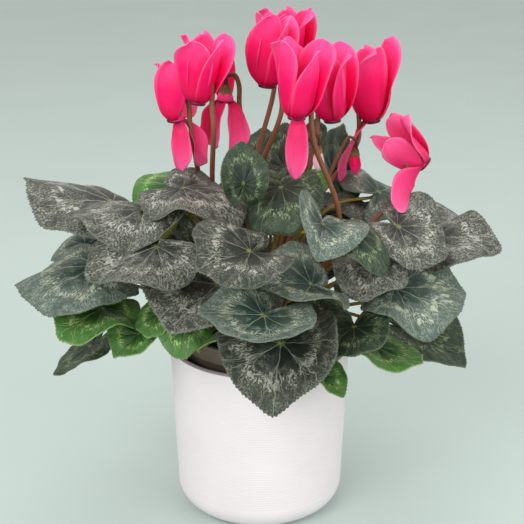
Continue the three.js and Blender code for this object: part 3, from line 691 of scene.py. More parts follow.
# %% Pale strokes in a ring, and silver dust
def pale_strokes(tree, where, around, outward, seed, cover):
    """Short feathered strokes that run outwards, in a ring whose middle wanders.

    On a leaf of 50 mm a stroke is about 2 mm wide and 6 mm long. The leaf's own place in space shifts the
    noise a little, so that no two leaves match.
    """
    place = add(tree, "VectorMath", {0: where, 1: (38, 31, 47)}, out="Value", operation="DOT_PRODUCT")
    own = add(tree, "Math", {0: place, 1: seed}, operation="ADD")
    across = add(tree, "Math", {0: around, 1: 100.0}, operation="MULTIPLY")
    down = add(tree, "Math", {0: outward, 1: 9.0}, operation="MULTIPLY")
    stretched = add(tree, "CombineXYZ", {0: across, 1: down, 2: own})
    torn = {"Vector": stretched, "Scale": 1.0, "Detail": 5.0, "Distortion": 1.3}
    feather = add(tree, "TexNoise", torn, out="Fac")
    slow = add(tree, "Math", {0: around, 1: 13.0}, operation="MULTIPLY")
    drawn_out = add(tree, "CombineXYZ", {0: slow, 2: own})
    wander = add(tree, "TexNoise", {"Vector": drawn_out, "Scale": 1.0}, out="Fac")
    middle = add(tree, "MapRange", {"Value": wander, 3: 0.42, 4: 0.86})
    off = add(tree, "Math", {0: outward, 1: middle}, operation="SUBTRACT")
    near = add(tree, "Math", {0: off}, operation="ABSOLUTE")
    ring = add(tree, "MapRange", {"Value": near, 1: 0.03, 2: 0.26, 3: 0.17, 4: -0.12})
    lifted = add(tree, "Math", {0: feather, 1: ring}, operation="ADD")
    clear = {"Value": lifted, 1: 0.67 - cover, 2: 0.78 - cover}
    strokes = add(tree, "MapRange", clear, interpolation_type="SMOOTHSTEP")
    return add(tree, "Math", {0: strokes, 1: 0.75}, operation="MULTIPLY")


def silver_dust(tree, where, outward, amount):
    """Tiny air pockets under the skin: a speckle that is denser outwards and in clouds of about 7 mm."""
    fine = {"Vector": where, "Scale": 1 / 0.0014, "Detail": 5.0, "Roughness": 0.75}
    speck = add(tree, "TexNoise", fine, out="Fac")
    grain = add(tree, "MapRange", {"Value": speck, 1: 0.44, 2: 0.62}, interpolation_type="SMOOTHSTEP")
    cloud = add(tree, "TexNoise", {"Vector": where, "Scale": 1 / 0.007, "Detail": 5.0}, out="Fac")
    reach = add(tree, "MapRange", {"Value": outward, 1: 0.05, 2: 0.6, 3: -0.16, 4: 0.09})
    both = add(tree, "Math", {0: cloud, 1: reach}, operation="ADD")
    cover = add(tree, "MapRange", {"Value": both, 1: 0.62 - amount, 2: 0.92 - amount})
    return add(tree, "Math", {0: grain, 1: cover}, operation="MULTIPLY")


# %% [markdown]
# ### One recipe, five kinds of leaf
#
# The colour is laid down as a painter would: the dark heart, the greyer outer blade, the dust, the pale
# strokes, the veins, the yellow hub at the stalk and at last the rim. A leaf's skin is waxy but not glossy,
# so its roughness is 0.5, and the dusty parts scatter more, up to 0.7. The veins are sunk by a bump of
# 1 mm, deeper than real ones, so that it shows at this size. A little light passes through the blade.

# %% The waxy leaf skin
def leaf_skin(name, heart, outer, silver, stroke, rim, dust, cover, veins, seed):
    """The waxy upper face of one kind of leaf, from its colours and amounts in the table below."""
    tree, finish = new_finish(name)
    where = add(tree, "TexCoord", out="Object")
    along = add(tree, "TexCoord", out="UV")
    polar = add(tree, "SeparateXYZ", {0: along}, out="X")
    outward = polar.node.outputs["Y"]
    # The veins sway from their straight lines, in swings of about 9 mm.
    sway = add(tree, "TexNoise", {"Vector": where, "Scale": 1 / 0.009, "Detail": 2.0}, out="Fac")
    shift = add(tree, "MapRange", {"Value": sway, 3: -0.02, 4: 0.02})
    around = add(tree, "Math", {0: polar, 1: shift}, operation="ADD")
    lines = vein_lines(tree, around, outward, veins)
    strokes = pale_strokes(tree, where, around, outward, seed, cover)
    dusty = silver_dust(tree, where, outward, dust)

    out_there = {"Value": outward, 1: 0.2, 2: 0.75}
    outer_share = add(tree, "MapRange", out_there, interpolation_type="SMOOTHSTEP")
    hub = add(tree, "MapRange", {"Value": outward, 1: 0.01, 2: 0.09, 3: 0.9, 4: 0.0})
    edge = add(tree, "MapRange", {"Value": outward, 1: 0.975, 2: 0.995})
    tone = linear(heart)
    coats = [(outer_share, outer), (dusty, silver), (strokes, stroke), (lines, stroke)]
    for share, code in coats + [(hub, "9aa04e"), (edge, rim)]:
        tone = add(tree, "Mix", {0: share, 6: tone, 7: linear(code)}, out=2, data_type="RGBA")

    gloss = add(tree, "MapRange", {"Value": dusty, 3: 0.5, 4: 0.7})
    relief = add(tree, "Math", {0: sway, 1: lines}, operation="SUBTRACT")
    bump = add(tree, "Bump", {"Height": relief, "Strength": 0.9, "Distance": 0.001})
    surface(tree, Base_Color=tone, Roughness=gloss, Normal=bump, IOR=1.42,
            Subsurface_Weight=0.06, Subsurface_Radius=(0.3, 0.6, 0.15), Subsurface_Scale=0.002)
    return finish


# Name, heart, outer blade, dust, strokes and veins, rim, amounts of dust and of strokes, how strong the
# veins are at the edge, and a seed for the strokes.
RECIPES = {
    "silvered": ("dusty leaf skin", "2a302b", "373c34", "96988c", "c2c4b8", "6c7065", 0.26, 0.03, 0.45, 1.0),
    "dusted": ("mottled leaf skin", "1a261f", "2b3329", "868a7c", "b0b4a6", "5c6455", 0.16, 0.035, 0.5, 2.0),
    "marbled": ("marbled leaf skin", "263f37", "4a5b50", "9aa49c", "bfc7ad", "6a7663", 0.2, 0.035, 0.5, 3.0),
    "green": ("plain leaf skin", "14281a", "27392a", "6c7d5e", "93a67a", "566543", 0.1, 0.025, 0.4, 4.0),
    "young": ("young leaf skin", "234f1b", "4a7a39", "7fa966", "bcda8b", "7fa25f", 0.06, 0.04, 0.55, 5.0),
}
SKINS = {kind: leaf_skin(*recipe) for kind, recipe in RECIPES.items()}


# %% The underside
def leaf_back():
    """The underside is matt olive, in patches of about 20 mm, and its veins stand proud and lighter."""
    tree, finish = new_finish("leaf underside")
    where = add(tree, "TexCoord", out="Object")
    along = add(tree, "TexCoord", out="UV")
    polar = add(tree, "SeparateXYZ", {0: along}, out="X")
    outward = polar.node.outputs["Y"]
    lines = vein_lines(tree, polar, outward, 0.6)
    flush = add(tree, "TexNoise", {"Vector": where, "Scale": 1 / 0.02, "Detail": 3.0}, out="Fac")
    tone = add(tree, "Mix", {0: flush, 6: linear("4a5524"), 7: linear("75702f")}, out=2, data_type="RGBA")
    tone = add(tree, "Mix", {0: lines, 6: tone, 7: linear("a39a55")}, out=2, data_type="RGBA")
    bump = add(tree, "Bump", {"Height": lines, "Strength": 0.7, "Distance": 0.0006})
    surface(tree, Base_Color=tone, Roughness=0.6, Normal=bump, IOR=1.42,
            Subsurface_Weight=0.06, Subsurface_Radius=(0.4, 0.5, 0.1), Subsurface_Scale=0.002)
    return finish


UNDERSIDE = leaf_back()
print(len(SKINS), "leaf skins and one underside")

# %% [markdown]
# ## Make the leaves
#
# Each leaf is its own piece, so that one can be hidden or moved. A Solidify modifier turns the single
# sheet into a blade 0.7 mm thick, and gives the new lower face the second finish. Each piece also hides
# the solid that it takes the place of.

# %% Forty-five leaves
BLADE = 0.7


def leaf_piece(row, name, node):
    """Makes a leaf from its row, gives it its thickness, and hides the solid that it stands for."""
    points, faces, uv = leaf_mesh(row)
    leaf = made(name, points, faces, [SKINS[row[11]], UNDERSIDE], uv)
    body = leaf.modifiers.new("blade thickness", "SOLIDIFY")
    body.thickness, body.offset, body.material_offset = BLADE * MM, 0, 1
    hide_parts(node)
    return 2 * len(faces)


leaf_faces = 0
for row in LEAVES:
    node = "leaf_" + row[0]
    leaf_faces += leaf_piece(row, "blade_" + row[0], node)
print(len(LEAVES), "leaves,", leaf_faces, "faces")

# %% [markdown]
# ### Inner leaves
#
# A look between the big leaves meets no daylight: small leaves fill the heart of the plant. Eight of them
# are added low in the crown. They belong with the tuber, which their stalks grow from.

# %% Eight small leaves in the heart of the plant
INNER = [
    ("left", -38, 8, 206, 130, -38, 0, 34, 1, "saucer", 60, "green"),
    ("back_left", -20, 40, 214, 100, -50, 8, 34, 1, "flat", 120, "green"),
    ("back", 8, 48, 212, 85, -50, -6, 36, 1, "saucer", 200, "green"),
    ("back_right", 42, 40, 205, 65, -45, -10, 36, 1, "flat", 20, "marbled"),
    ("right", 62, 0, 188, 40, -30, 10, 34, 1, "saucer", 100, "green"),
    ("front_right", 44, -42, 174, -60, 25, 0, 30, 1, "flat", 60, "green"),
    ("front", -2, -44, 178, -100, 20, 5, 30, 1, "shield", 10, "green"),
    ("front_left", -44, -34, 180, -140, 10, -8, 32, 1, "dome", 150, "green"),
]
leaf_faces = 0
for row in INNER:
    leaf_faces += leaf_piece(row, "inner_blade_" + row[0], "tuber_with_stalks")
print(len(INNER), "inner leaves,", leaf_faces, "faces")

# %% [markdown]
# ## The shape of a bloom
#
# A cyclamen's bloom hangs mouth down and throws its five petals back over itself. Each petal leaves the rim
# of the short tube, turns up within its first quarter and twists a little, so that the five overlap like
# the blades of a fan. A few petals of this plant never turned up, and hang or stand out instead. The spine
# of a petal is walked in short steps, and the blade is spread to both sides of it.

# %% The blooms, one row each
# Name, place of the mouth, size, lean direction, lean, first petal, side of the stalk, turn of each petal.
BLOOMS = [
    ("back_centre", 22, 50, 324, 1.04, 180, 2, 20, 180, (84, 88, 86, 86, 82)),
    ("back_right", 84, 35, 292, 1.2, 180, 8, 60, 196, (86, 84, -58, 84, 82)),
    ("hanging", -25, 15, 312, 0.9, 0, 4, 30, 0, (-82, 88, -84, -86, -76)),
    ("top_centre", 5, 5, 325, 1.1, 0, 6, 16, 340, (86, 84, 90, 86, 88)),
    ("left_low", -59, -16, 305, 0.88, 0, 0, -140, 0, (97, -84, -66, 14, 86)),
    ("right_centre", 52, -5, 302, 1.1, 180, 5, 34, 178, (86, 84, 88, 86, 90)),
    ("left_tall", -43, -35, 322, 1, 0, 9, -54, 350, (88, 84, 86, 86, 86)),
    ("far_right", 119, -10, 272, 0.8, 180, 50, -36, 216, (84, 86, 84, 8, 86)),
    ("front_centre", 25, -54, 316, 1.06, 0, 3, -50, 14, (86, 86, 88, 88, -84)),
]
TUBE_RADIUS, TUBE_DEPTH = 6.5, 8
# A petal whose turn is over this angle stands up. The others hang or stick out.
STANDS = 20
print(len(BLOOMS), "blooms, the highest mouth", max(row[3] for row in BLOOMS), "mm up")


def bloom_frame(row):
    """Three unit vectors of a bloom: to its right, to its back, and up its axis from the mouth."""
    axis = pointing(row[5], 90 - row[6])
    right = np.cross((0, 1, 0), axis)
    right = right / np.linalg.norm(right)
    return right, np.cross(axis, right), axis


def bloom_point(row, azimuth, away, height):
    """A point of the bloom at an azimuth, a distance from its axis and a height above the mouth."""
    right, back, axis = bloom_frame(row)
    return np.array(row[1:4]) + axis * height + right * away * cosine(azimuth) + back * away * sine(azimuth)


def petal_width(share):
    """Narrow at the mouth, widest past the middle, blunt at the tip."""
    swell = 0.38 + 0.62 * math.sin(math.pi * 0.78 * share)
    return swell * math.sqrt(1 - (max(0, share - 0.62) / 0.385) ** 3)


# %% The fine mesh of one petal
ALONG, ACROSS = 32, 16
# Length and half widths of a petal in a bloom of size 1, in millimetres. A hanging petal is shorter.
PETAL_LENGTH, HALF_WIDTH, HANGING_HALF_WIDTH = 50, 12.9, 9.2
HANGING_LENGTH = 0.82
# How far a petal that never turned up is swung round towards the front of its bloom, in degrees.
SWUNG = {"front_centre": 36, "far_right": 42}


def petal_mesh(row, index):
    """One petal: a spine walked from the mouth, and rows of points across it.

    Its turn is the angle that the spine settles at. Over 20 degrees the petal stands, below zero it hangs,
    and between them it sticks out. The flare and the bow open or close its tip, and the wind drives it
    sideways.
    """
    size, turn, key = row[4], row[9][index], row[1] + index
    azimuth = row[7] + 72 * index + (SWUNG.get(row[0], 0) if turn < STANDS else 0)
    length = PETAL_LENGTH * size * (HANGING_LENGTH if turn < 0 else 1) * mix(0.9, 1.06, chance(key, 6))
    upright = turn > STANDS
    if upright:
        twist = mix(8, 24, chance(key, 7))
    else:
        twist = 60 if turn > 0 else mix(20, 58, chance(key, 7))
    start, settled = (26, 0.25) if upright else (turn * 0.5, 0.34)
    flare = mix(-8, 14, chance(key, 9)) if upright else 0
    wind = mix(4, 34, chance(key, 11)) if upright else 0
    bow = mix(-34, 36, chance(key, 12)) if upright else 0
    if upright:
        # The neighbours of a petal that never turned up close over the gap that it leaves.
        azimuth += 20 * ((row[9][(index + 1) % 5] < STANDS) - (row[9][index - 1] < STANDS))

    def slope_at(share):
        tip = max(0, share - 0.55) / 0.45
        return mix(start, turn, min(1, share / settled) ** 0.8) - flare * share ** 2 - bow * tip ** 2

    spine = [(TUBE_RADIUS - 2, 1.2)]
    for i in range(ALONG):
        slope, step = slope_at((i + 0.5) / ALONG), length / ALONG
        spine.append((spine[-1][0] + step * cosine(slope), spine[-1][1] + step * sine(slope)))
    ahead = bloom_point(row, azimuth + 90, 1, 0) - np.array(row[1:4])
    points, uv = [], []
    for i in range(ALONG + 1):
        share = i / ALONG
        widest = HALF_WIDTH if turn > 0 else HANGING_HALF_WIDTH * mix(1, 0.7, share ** 2)
        slope, half = slope_at(share), widest * size * petal_width(share)
        roll = twist * min(1, share / 0.35 + 0.1) + 18 * share ** 2
        cup = mix(0.42, 0.12, share) if upright else 0.34
        drift = wind * share ** 2
        for j in range(ACROSS + 1):
            side = mix(-1, 1, j / ACROSS)
            wrinkle = math.sin(8 * share + 3 * side + 6 * chance(key, 8))
            ruffle = (1.1 if upright else 2.4) * share * side ** 2 * wrinkle
            crease = 0.3 * math.exp(-((side / 0.3) ** 2)) * math.sin(math.pi * share)
            inward = side * half * sine(roll) + cup * half * side ** 2 + ruffle + crease
            # Both long edges roll outwards near the tip, one of them more.
            inward -= 11 * share ** 2 * max(0, -side - 0.3) ** 2 + 4 * share ** 3 * max(0, side - 0.4) ** 2
            away = spine[i][0] - inward * sine(slope)
            height = spine[i][1] + inward * cosine(slope)
            edge = side * half * cosine(roll)
            points.append(bloom_point(row, azimuth + drift, away, height) + ahead * edge)
            uv.append((j / ACROSS, share))
    wide = ACROSS + 1
    corners = [i * wide + j for i in range(ALONG) for j in range(ACROSS)]
    faces = [[a, a + 1, a + wide + 1, a + wide] for a in corners]
    return points, faces, uv


print("a petal has", ALONG * ACROSS, "faces before it gets its thickness")

# %% [markdown]
# ## Petal finish
#
# A petal is thin, moist tissue. Light enters it, turns pinker and comes out again, so a bloom seems to glow
# against the sky: that is a little subsurface scattering. The colour deepens to crimson at the mouth and
# pales to rose at the tip. Towards the tip the margins are painted paler still: a painted highlight for the
# light that shines through the upper edges from behind. Fine streaks run lengthwise, about 1 mm apart, and
# the surface has a soft satin gloss. Petals that hang or stick out turn their other, rosier face to us. The
# pale bud goes from pink to nearly white.

# %% Satin petal tissue
def petal_tissue(name, mouth, throat, middle, tip, lit_margin):
    """Living petal: translucent and satin, with a colour that changes from the mouth to the tip.

    The change comes a little sooner or later from place to place, over about 14 mm.
    """
    tree, finish = new_finish(name)
    where = add(tree, "TexCoord", out="UV")
    across = add(tree, "SeparateXYZ", {0: where}, out="X")
    share = across.node.outputs["Y"]
    wide = add(tree, "Math", {0: across, 1: 24.0}, operation="MULTIPLY")
    long = add(tree, "Math", {0: share, 1: 2.5}, operation="MULTIPLY")
    lengthwise = add(tree, "CombineXYZ", {0: wide, 1: long})
    streak = add(tree, "TexNoise", {"Vector": lengthwise, "Scale": 1.0, "Detail": 3.0}, out="Fac")
    place = add(tree, "TexCoord", out="Object")
    blush = add(tree, "TexNoise", {"Vector": place, "Scale": 1 / 0.014, "Detail": 2.0}, out="Fac")
    shift = add(tree, "MapRange", {"Value": blush, 3: -0.12, 4: 0.12})
    moved = add(tree, "Math", {0: share, 1: shift}, operation="ADD")
    ramp = add(tree, "ValToRGB", {"Fac": moved}, out="Color")
    stops = ramp.node.color_ramp
    stops.elements[0].position, stops.elements[0].color = 0.0, linear(mouth)
    stops.elements[1].position, stops.elements[1].color = 1.0, linear(tip)
    for position, code in [(0.16, throat), (0.55, middle)]:
        stops.elements.new(position).color = linear(code)
    # Near the long edges, more and more towards the tip, the colour turns to the pale margin: a painted
    # highlight of the backlit upper edges.
    from_middle = add(tree, "Math", {0: across, 1: 0.5}, operation="SUBTRACT")
    aside = add(tree, "Math", {0: from_middle}, operation="ABSOLUTE")
    border = {"Value": aside, 1: 0.36, 2: 0.5, 3: 0.0, 4: 0.5}
    near_edge = add(tree, "MapRange", border, interpolation_type="SMOOTHSTEP")
    margin_highlight = add(tree, "Math", {0: near_edge, 1: share}, operation="MULTIPLY")
    tone = add(tree, "Mix", {0: margin_highlight, 6: ramp, 7: linear(lit_margin)}, out=2, data_type="RGBA")
    deep = add(tree, "MapRange", {"Value": streak, 1: 0.5, 2: 0.75, 3: 0.0, 4: 0.3})
    tone = add(tree, "Mix", {0: deep, 6: tone, 7: linear(throat)}, out=2, data_type="RGBA")
    bump = add(tree, "Bump", {"Height": streak, "Strength": 0.25, "Distance": 0.0004})
    surface(tree, Base_Color=tone, Roughness=0.5, Normal=bump, IOR=1.4, Specular_IOR_Level=0.25,
            Subsurface_Weight=0.35, Subsurface_Radius=(1.0, 0.25, 0.45), Subsurface_Scale=0.003)
    return finish


# Name, colours from the mouth to the tip, and the pale margin, which is a painted highlight.
PINK = petal_tissue("satin petal", "8c0434", "dc044e", "ff0a6b", "ff529a", "ff86b8")
ROSE = petal_tissue("rosy petal face", "a00c46", "e02262", "ee3c7a", "f85e97", "ff94bc")
PALE = petal_tissue("pale satin petal", "e39aac", "efb3c0", "f5c9d2", "f9dfe2", "fbe9ea")


# %% Maroon mouth
def maroon_mouth():
    """The rim of the tube is a dark maroon, with a velvety, matt face. Its nap is drawn at 1.5 mm."""
    tree, finish = new_finish("velvet mouth tissue")
    where = add(tree, "TexCoord", out="Object")
    nap = add(tree, "TexNoise", {"Vector": where, "Scale": 1 / 0.0015, "Detail": 3.0}, out="Fac")
    tone = add(tree, "Mix", {0: nap, 6: linear("3c041b"), 7: linear("740c33")}, out=2, data_type="RGBA")
    bump = add(tree, "Bump", {"Height": nap, "Strength": 0.3, "Distance": 0.0003})
    surface(tree, Base_Color=tone, Roughness=0.65, Normal=bump, IOR=1.4, Sheen_Weight=0.05)
    return finish


MAROON = maroon_mouth()
print("petal and mouth finishes made")

# %% [markdown]
# ## Make the blooms
#
# The petals of a bloom are one piece with a thickness modifier. The tube, its swollen maroon rim, and the
# pale tip of the style in the mouth are a second piece, turned on the bloom's own axis. The bloom at the
# far right leans over so far that all of its petals show their rosier face.

# %% Nine blooms
def on_bloom(row, part):
    """Stands a turned shape on the bloom's axis."""
    right, back, axis = bloom_frame(row)
    points, faces, uv = part
    return np.array(points) @ np.array([right, back, axis]) + np.array(row[1:4]), faces, uv


PETAL = 0.6
MOUTH_SIDES, STYLE_SIDES = 30, 10
throat_outline = [(0, 3.4), (3, 3.5)]
rim_outline = [(5, 4), (5.2, 1.4), (5.5, 0.5), (5.9, 0.3), (6.2, 0.9)]
tube_outline = [(6.2, 2), (5.8, 4.4), (4.6, 7.2), (0, TUBE_DEPTH)]
style_outline = [(0, 0.4), (0.55, 0.6), (0.5, 2), (0.5, 4)]
# The throat and the swollen rim are maroon, and the tube above them is pink.
maroon_faces = MOUTH_SIDES * len(throat_outline + rim_outline)
petal_faces = 0
for row in BLOOMS:
    points, faces, uv = gathered([petal_mesh(row, index) for index in range(5)])
    petal_faces += len(faces)
    rosy = [int(turn < STANDS or row[0] == "far_right") for turn in row[9]]
    finish_of = [which for which in rosy for _ in range(ALONG * ACROSS)]
    petals = made("petals_" + row[0], points, faces, [PINK, ROSE], uv, finish_of)
    body = petals.modifiers.new("petal thickness", "SOLIDIFY")
    body.thickness, body.offset = PETAL * MM, 0
    mouth = turned(throat_outline + rim_outline + tube_outline, MOUTH_SIDES)
    style = turned(style_outline, STYLE_SIDES)
    points, faces, uv = gathered([on_bloom(row, mouth), on_bloom(row, style)])
    finish_of = [int(i >= maroon_faces) for i in range(len(mouth[1]))] + [2] * len(style[1])
    throat = made("mouth_" + row[0], points, faces, [MAROON, PINK, PALE], uv, finish_of)
    for piece in (petals, throat):
        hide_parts("bloom_" + row[0])
print(len(BLOOMS), "blooms,", petal_faces, "petal faces")

# %% [markdown]
# ## Buds
#
# A closed bud hangs like a furled umbrella. Its five petals are wound round each other, so the section is a
# soft five-pointed star that turns as it goes down. A lathe shape with a wobble by angle gives just that.

# %% Two furled buds
# Name, place of the top, length, radius and finish.
BUDS = [("bud_pale", 42, -14, 287, 19, 4, PALE), ("bud_pink", 70, 8, 279, 20, 4.2, PINK)]


def furled(name, x, y, z, length, radius, finish):
    """A furled bud that hangs from the point x, y, z."""
    profile, steps = [], 24
    for i in range(steps + 1):
        share = i / steps
        away = 0 if i in (0, steps) else radius * math.sin(math.pi * share ** 0.8)
        profile.append((away, -length * (1 - share)))

    def wound(point, angle):
        turn = angle + 2.6 * point[2] / length
        grow = 0.93 + 0.1 * abs(math.sin(2.5 * turn))
        return (x + point[0] * grow, y + point[1] * grow, z + point[2])

    points, faces, uv = turned(profile, 40, wound)
    bud = made(name + "_furled", points, faces, [finish], [(u, 1 - v) for u, v in uv])
    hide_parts(name)
    return bud


for row in BUDS:
    print(row[0], len(furled(*row).data.polygons), "faces")

# %% [markdown]
# ## Stalks
#
# Every leaf and bloom stands on a stalk that grows from the crown of the tuber. In the solid model each
# stalk took the first of a list of bends that kept clear of the other pieces. The same list is tried here
# against the loaded solid: the right bend is the one whose middle line runs inside it, at a rod's half
# thickness from the surface. That finds the stalks again without copying any coordinates.

# %% Curves for the stalks
def unit(v):
    """The vector of length 1 that points the same way."""
    return v / np.linalg.norm(v)


def bezier(points, steps):
    """Points at equal distances along a cubic Bezier curve."""
    t = np.linspace(0, 1, 201)[:, None]
    a, b, c, d = points
    fine = a * (1 - t) ** 3 + 3 * b * t * (1 - t) ** 2 + 3 * c * t ** 2 * (1 - t) + d * t ** 3
    run = np.concatenate([[0], np.cumsum(np.linalg.norm(np.diff(fine, axis=0), axis=1))])
    stops = np.linspace(0, run[-1], steps + 1)
    return np.stack([np.interp(stops, run, fine[:, k]) for k in range(3)], 1)


def spline(points, steps):
    """A centripetal Catmull-Rom curve through the points, at even steps of its parameter."""
    points = [np.array(p) for p in points]
    padded = [2 * points[0] - points[1]] + points + [2 * points[-1] - points[-2]]
    found = []
    for i in range(steps + 1):
        at = (len(points) - 1) * i / steps
        k = min(int(at), len(points) - 2)
        w, (p0, p1, p2, p3) = at - k, padded[k:k + 4]
        d0, d1, d2 = [np.sum((b - a) ** 2) ** 0.25 for a, b in ((p0, p1), (p1, p2), (p2, p3))]
        m1 = ((p1 - p0) / d0 - (p2 - p0) / (d0 + d1) + (p2 - p1) / d1) * d1
        m2 = ((p2 - p1) / d1 - (p3 - p1) / (d1 + d2) + (p3 - p2) / d2) * d1
        square, cube = 3 * (p2 - p1) - 2 * m1 - m2, 2 * (p1 - p2) + m1 + m2
        found.append(p1 + m1 * w + square * w ** 2 + cube * w ** 3)
    return np.array(found)


# %% The ways that a leaf stalk can bend
# The height of the crown of the tuber, where the stalks leave it, how far below a blade's middle a leaf
# stalk ends, and the least that it climbs.
CROWN, BELOW_BLADE, LEAST_CLIMB = 143, 1.35, 40


def leaf_stalk(row, swing, lift, handle):
    """Four points of a curve from the tuber's crown to the notch of a leaf.

    A low leaf's stalk leaves the crown further out. The knee swings round by degrees and lifts by a share
    of the climb, and the handle is how straight the stalk meets the blade.
    """
    along, left, up = leaf_frame(row)
    end = np.array(row[1:4]) - up * BELOW_BLADE
    azimuth, away = math.degrees(math.atan2(end[1], end[0])), math.hypot(end[0], end[1])
    low = min(1, max(0, (250 - end[2]) / 110))
    root = pointing(azimuth, 0) * mix(9, 21, low) + (0, 0, CROWN - 5 * low)
    rise = max(end[2] - root[2], LEAST_CLIMB) * lift
    knee = pointing(azimuth + swing, 0) * mix(away, 22, 0.62) + (0, 0, root[2] + rise)
    return root, knee, end - unit(up + 0.15 * along) * handle, end


SWINGS = [0, 18, -18, 36, -36, 55, -55, 80, -80]
LEAF_BENDS = [(s, l, h) for s in SWINGS for l in (0.75, 1.05, 0.45, 1.4) for h in (18, 30, 9)]
print(len(LEAF_BENDS), "bends to try for a leaf stalk")


# %% The ways that a flower stalk can bend
def flower_stalk(row, sway, lean):
    """Nine points from the crown to a bloom: up, past its side, over its top and down into the tube.

    The middle of the stalk sways sideways and leans outwards. The hook stands beside the bloom by one
    distance and rises over its mouth by another.
    """
    side, tilt = row[8], row[6] / 50
    beside, over = 9.3, 13.3
    low = bloom_point(row, side, beside + 3 + 8 * tilt, mix(-16, 4, tilt))
    azimuth = math.degrees(math.atan2(low[1], low[0]))
    root = pointing(azimuth, 0) * 5 + (0, 0, CROWN)
    middle = mix(root, low, 0.55) + pointing(azimuth + 90, 0) * sway + pointing(azimuth, 0) * lean
    return [
        root, mix(root, middle, 0.5) + (0, 0, 6), middle, low,
        bloom_point(row, side, beside + 0.8 + 3 * tilt, 7 * tilt), bloom_point(row, side, beside, over),
        bloom_point(row, side, beside * 0.6, over + 7), bloom_point(row, side, 0, over + 6),
        bloom_point(row, side, 0, over - 1),
    ]


def bud_stalk(row, sway, lean):
    """Six points from the crown to a bud, with a small hook above it."""
    x, y, z = row[1:4]
    azimuth = math.degrees(math.atan2(y, x))
    out = pointing(azimuth, 0)
    root = out * 6 + (0, 0, CROWN)
    near = np.array([x, y, z]) - 11 * out
    middle = mix(root, near, 0.55) + pointing(azimuth + 90, 0) * sway + out * lean
    hook = [np.array([x, y, z + 9]) - 5 * out, np.array([x, y, z + 6]), np.array([x, y, z + 0.3])]
    return [root, middle, near] + hook


SWAYS = [0, 7, -7, 14, -14, 22, -22, 32, -32]
FLOWER_BENDS = [(sway, lean) for lean in (0, 8, -8, 16, -16, 26, -26, 36) for sway in SWAYS]
print(len(FLOWER_BENDS), "bends to try for a flower stalk")

# %% Find each stalk in the solid model
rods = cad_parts["tuber_with_stalks"].data
skin = BVHTree.FromPolygons([v.co for v in rods.vertices], [p.vertices[:] for p in rods.polygons])


def misfit(rings, half):
    """How far a middle line lies, on average, from running at this depth inside the solid."""
    inner = np.concatenate([rings[1:-1], (rings[1:-2] + rings[2:-1]) / 2])
    total = 0
    for point in inner:
        place, normal, _, gap = skin.find_nearest(Vector(point * MM))
        inside = (place - Vector(point * MM)).dot(normal) > 0
        total += abs(gap / MM - half) + (0 if inside else 4)
    return total / len(inner)


def find_stalk(row, bends, curve_of, rings_of, half):
    """The least misfit of all the bends, and the curve that has it."""
    tried = [(misfit(rings_of(curve_of(row, *bend)), half), k) for k, bend in enumerate(bends)]
    least, k = min(tried)
    return least, curve_of(row, *bends[k])


# The last number of each is how deep under the solid's flat-sided skin the middle line runs, in mm.
leaf_lines = [find_stalk(row, LEAF_BENDS, leaf_stalk, lambda c: bezier(c, 4), 1.06) for row in LEAVES]
bud_lines = [find_stalk(row, FLOWER_BENDS, bud_stalk, lambda c: spline(c, 7), 0.92) for row in BUDS]
bloom_lines = [find_stalk(row, FLOWER_BENDS, flower_stalk, lambda c: spline(c, 11), 1.62) for row in BLOOMS]
for kind, lines in [("leaf", leaf_lines), ("bud", bud_lines), ("bloom", bloom_lines)]:
    print(len(lines), kind, "stalks found, worst misfit", round(max(m for m, _ in lines), 2), "mm")


# %% [markdown]
# ### Round stalks
#
# A stalk is a soft round rod that thins towards its top. The mesh follows the middle line with rings that
# turn as little as possible from one to the next, so the surface doesn't wring. UVs run round and along.

# %% Sweep a ring along a line
def swept(line, radii, sides):
    """Points, faces and UVs of a rod along a line, closed at both ends."""
    line = np.array(line)
    ways = np.gradient(line, axis=0)
    across = unit(np.cross(ways[0], (0.3, 0.9, 0.1)))
    points, uv = [], []
    for i, (centre, way) in enumerate(zip(line, ways)):
        way = unit(way)
        across = unit(across - way * across.dot(way))
        other = np.cross(way, across)
        for j in range(sides):
            turn = 2 * math.pi * j / sides
            points.append(centre + radii[i] * (across * math.cos(turn) + other * math.sin(turn)))
            uv.append((j / sides, i / (len(line) - 1)))
    faces = [list(range(sides))[::-1], [len(points) - sides + j for j in range(sides)]]
    for i in range(len(line) - 1):
        for j in range(sides):
            k = (j + 1) % sides
            faces.append([i * sides + j, i * sides + k, (i + 1) * sides + k, (i + 1) * sides + j])
    return points, faces, uv


def stalk_skin(name, root, middle, top):
    """Stalk tissue: fleshy and faintly ridged lengthwise, with a colour that changes from root to top.

    The change is uneven, in blotches of about 8 mm.
    """
    tree, finish = new_finish(name)
    along = add(tree, "TexCoord", out="UV")
    around = add(tree, "SeparateXYZ", {0: along}, out="X")
    height = around.node.outputs["Y"]
    where = add(tree, "TexCoord", out="Object")
    blotch = add(tree, "TexNoise", {"Vector": where, "Scale": 1 / 0.008, "Detail": 3.0}, out="Fac")
    shift = add(tree, "MapRange", {"Value": blotch, 3: -0.22, 4: 0.22})
    moved = add(tree, "Math", {0: height, 1: shift}, operation="ADD")
    ramp = add(tree, "ValToRGB", {"Fac": moved}, out="Color")
    stops = ramp.node.color_ramp
    stops.elements[0].color, stops.elements[1].color = linear(root), linear(top)
    stops.elements[1].position = 0.9
    stops.elements.new(0.5).color = linear(middle)
    wide = add(tree, "Math", {0: around, 1: 14.0}, operation="MULTIPLY")
    far = add(tree, "Math", {0: height, 1: 9.0}, operation="MULTIPLY")
    lengthwise = add(tree, "CombineXYZ", {0: wide, 1: far})
    ridge = add(tree, "TexNoise", {"Vector": lengthwise, "Scale": 1.0}, out="Fac")
    bump = add(tree, "Bump", {"Height": ridge, "Strength": 0.3, "Distance": 0.0004})
    surface(tree, Base_Color=ramp, Roughness=0.48, Normal=bump, IOR=1.4,
            Subsurface_Weight=0.08, Subsurface_Radius=(0.8, 0.4, 0.2), Subsurface_Scale=0.002)
    return finish


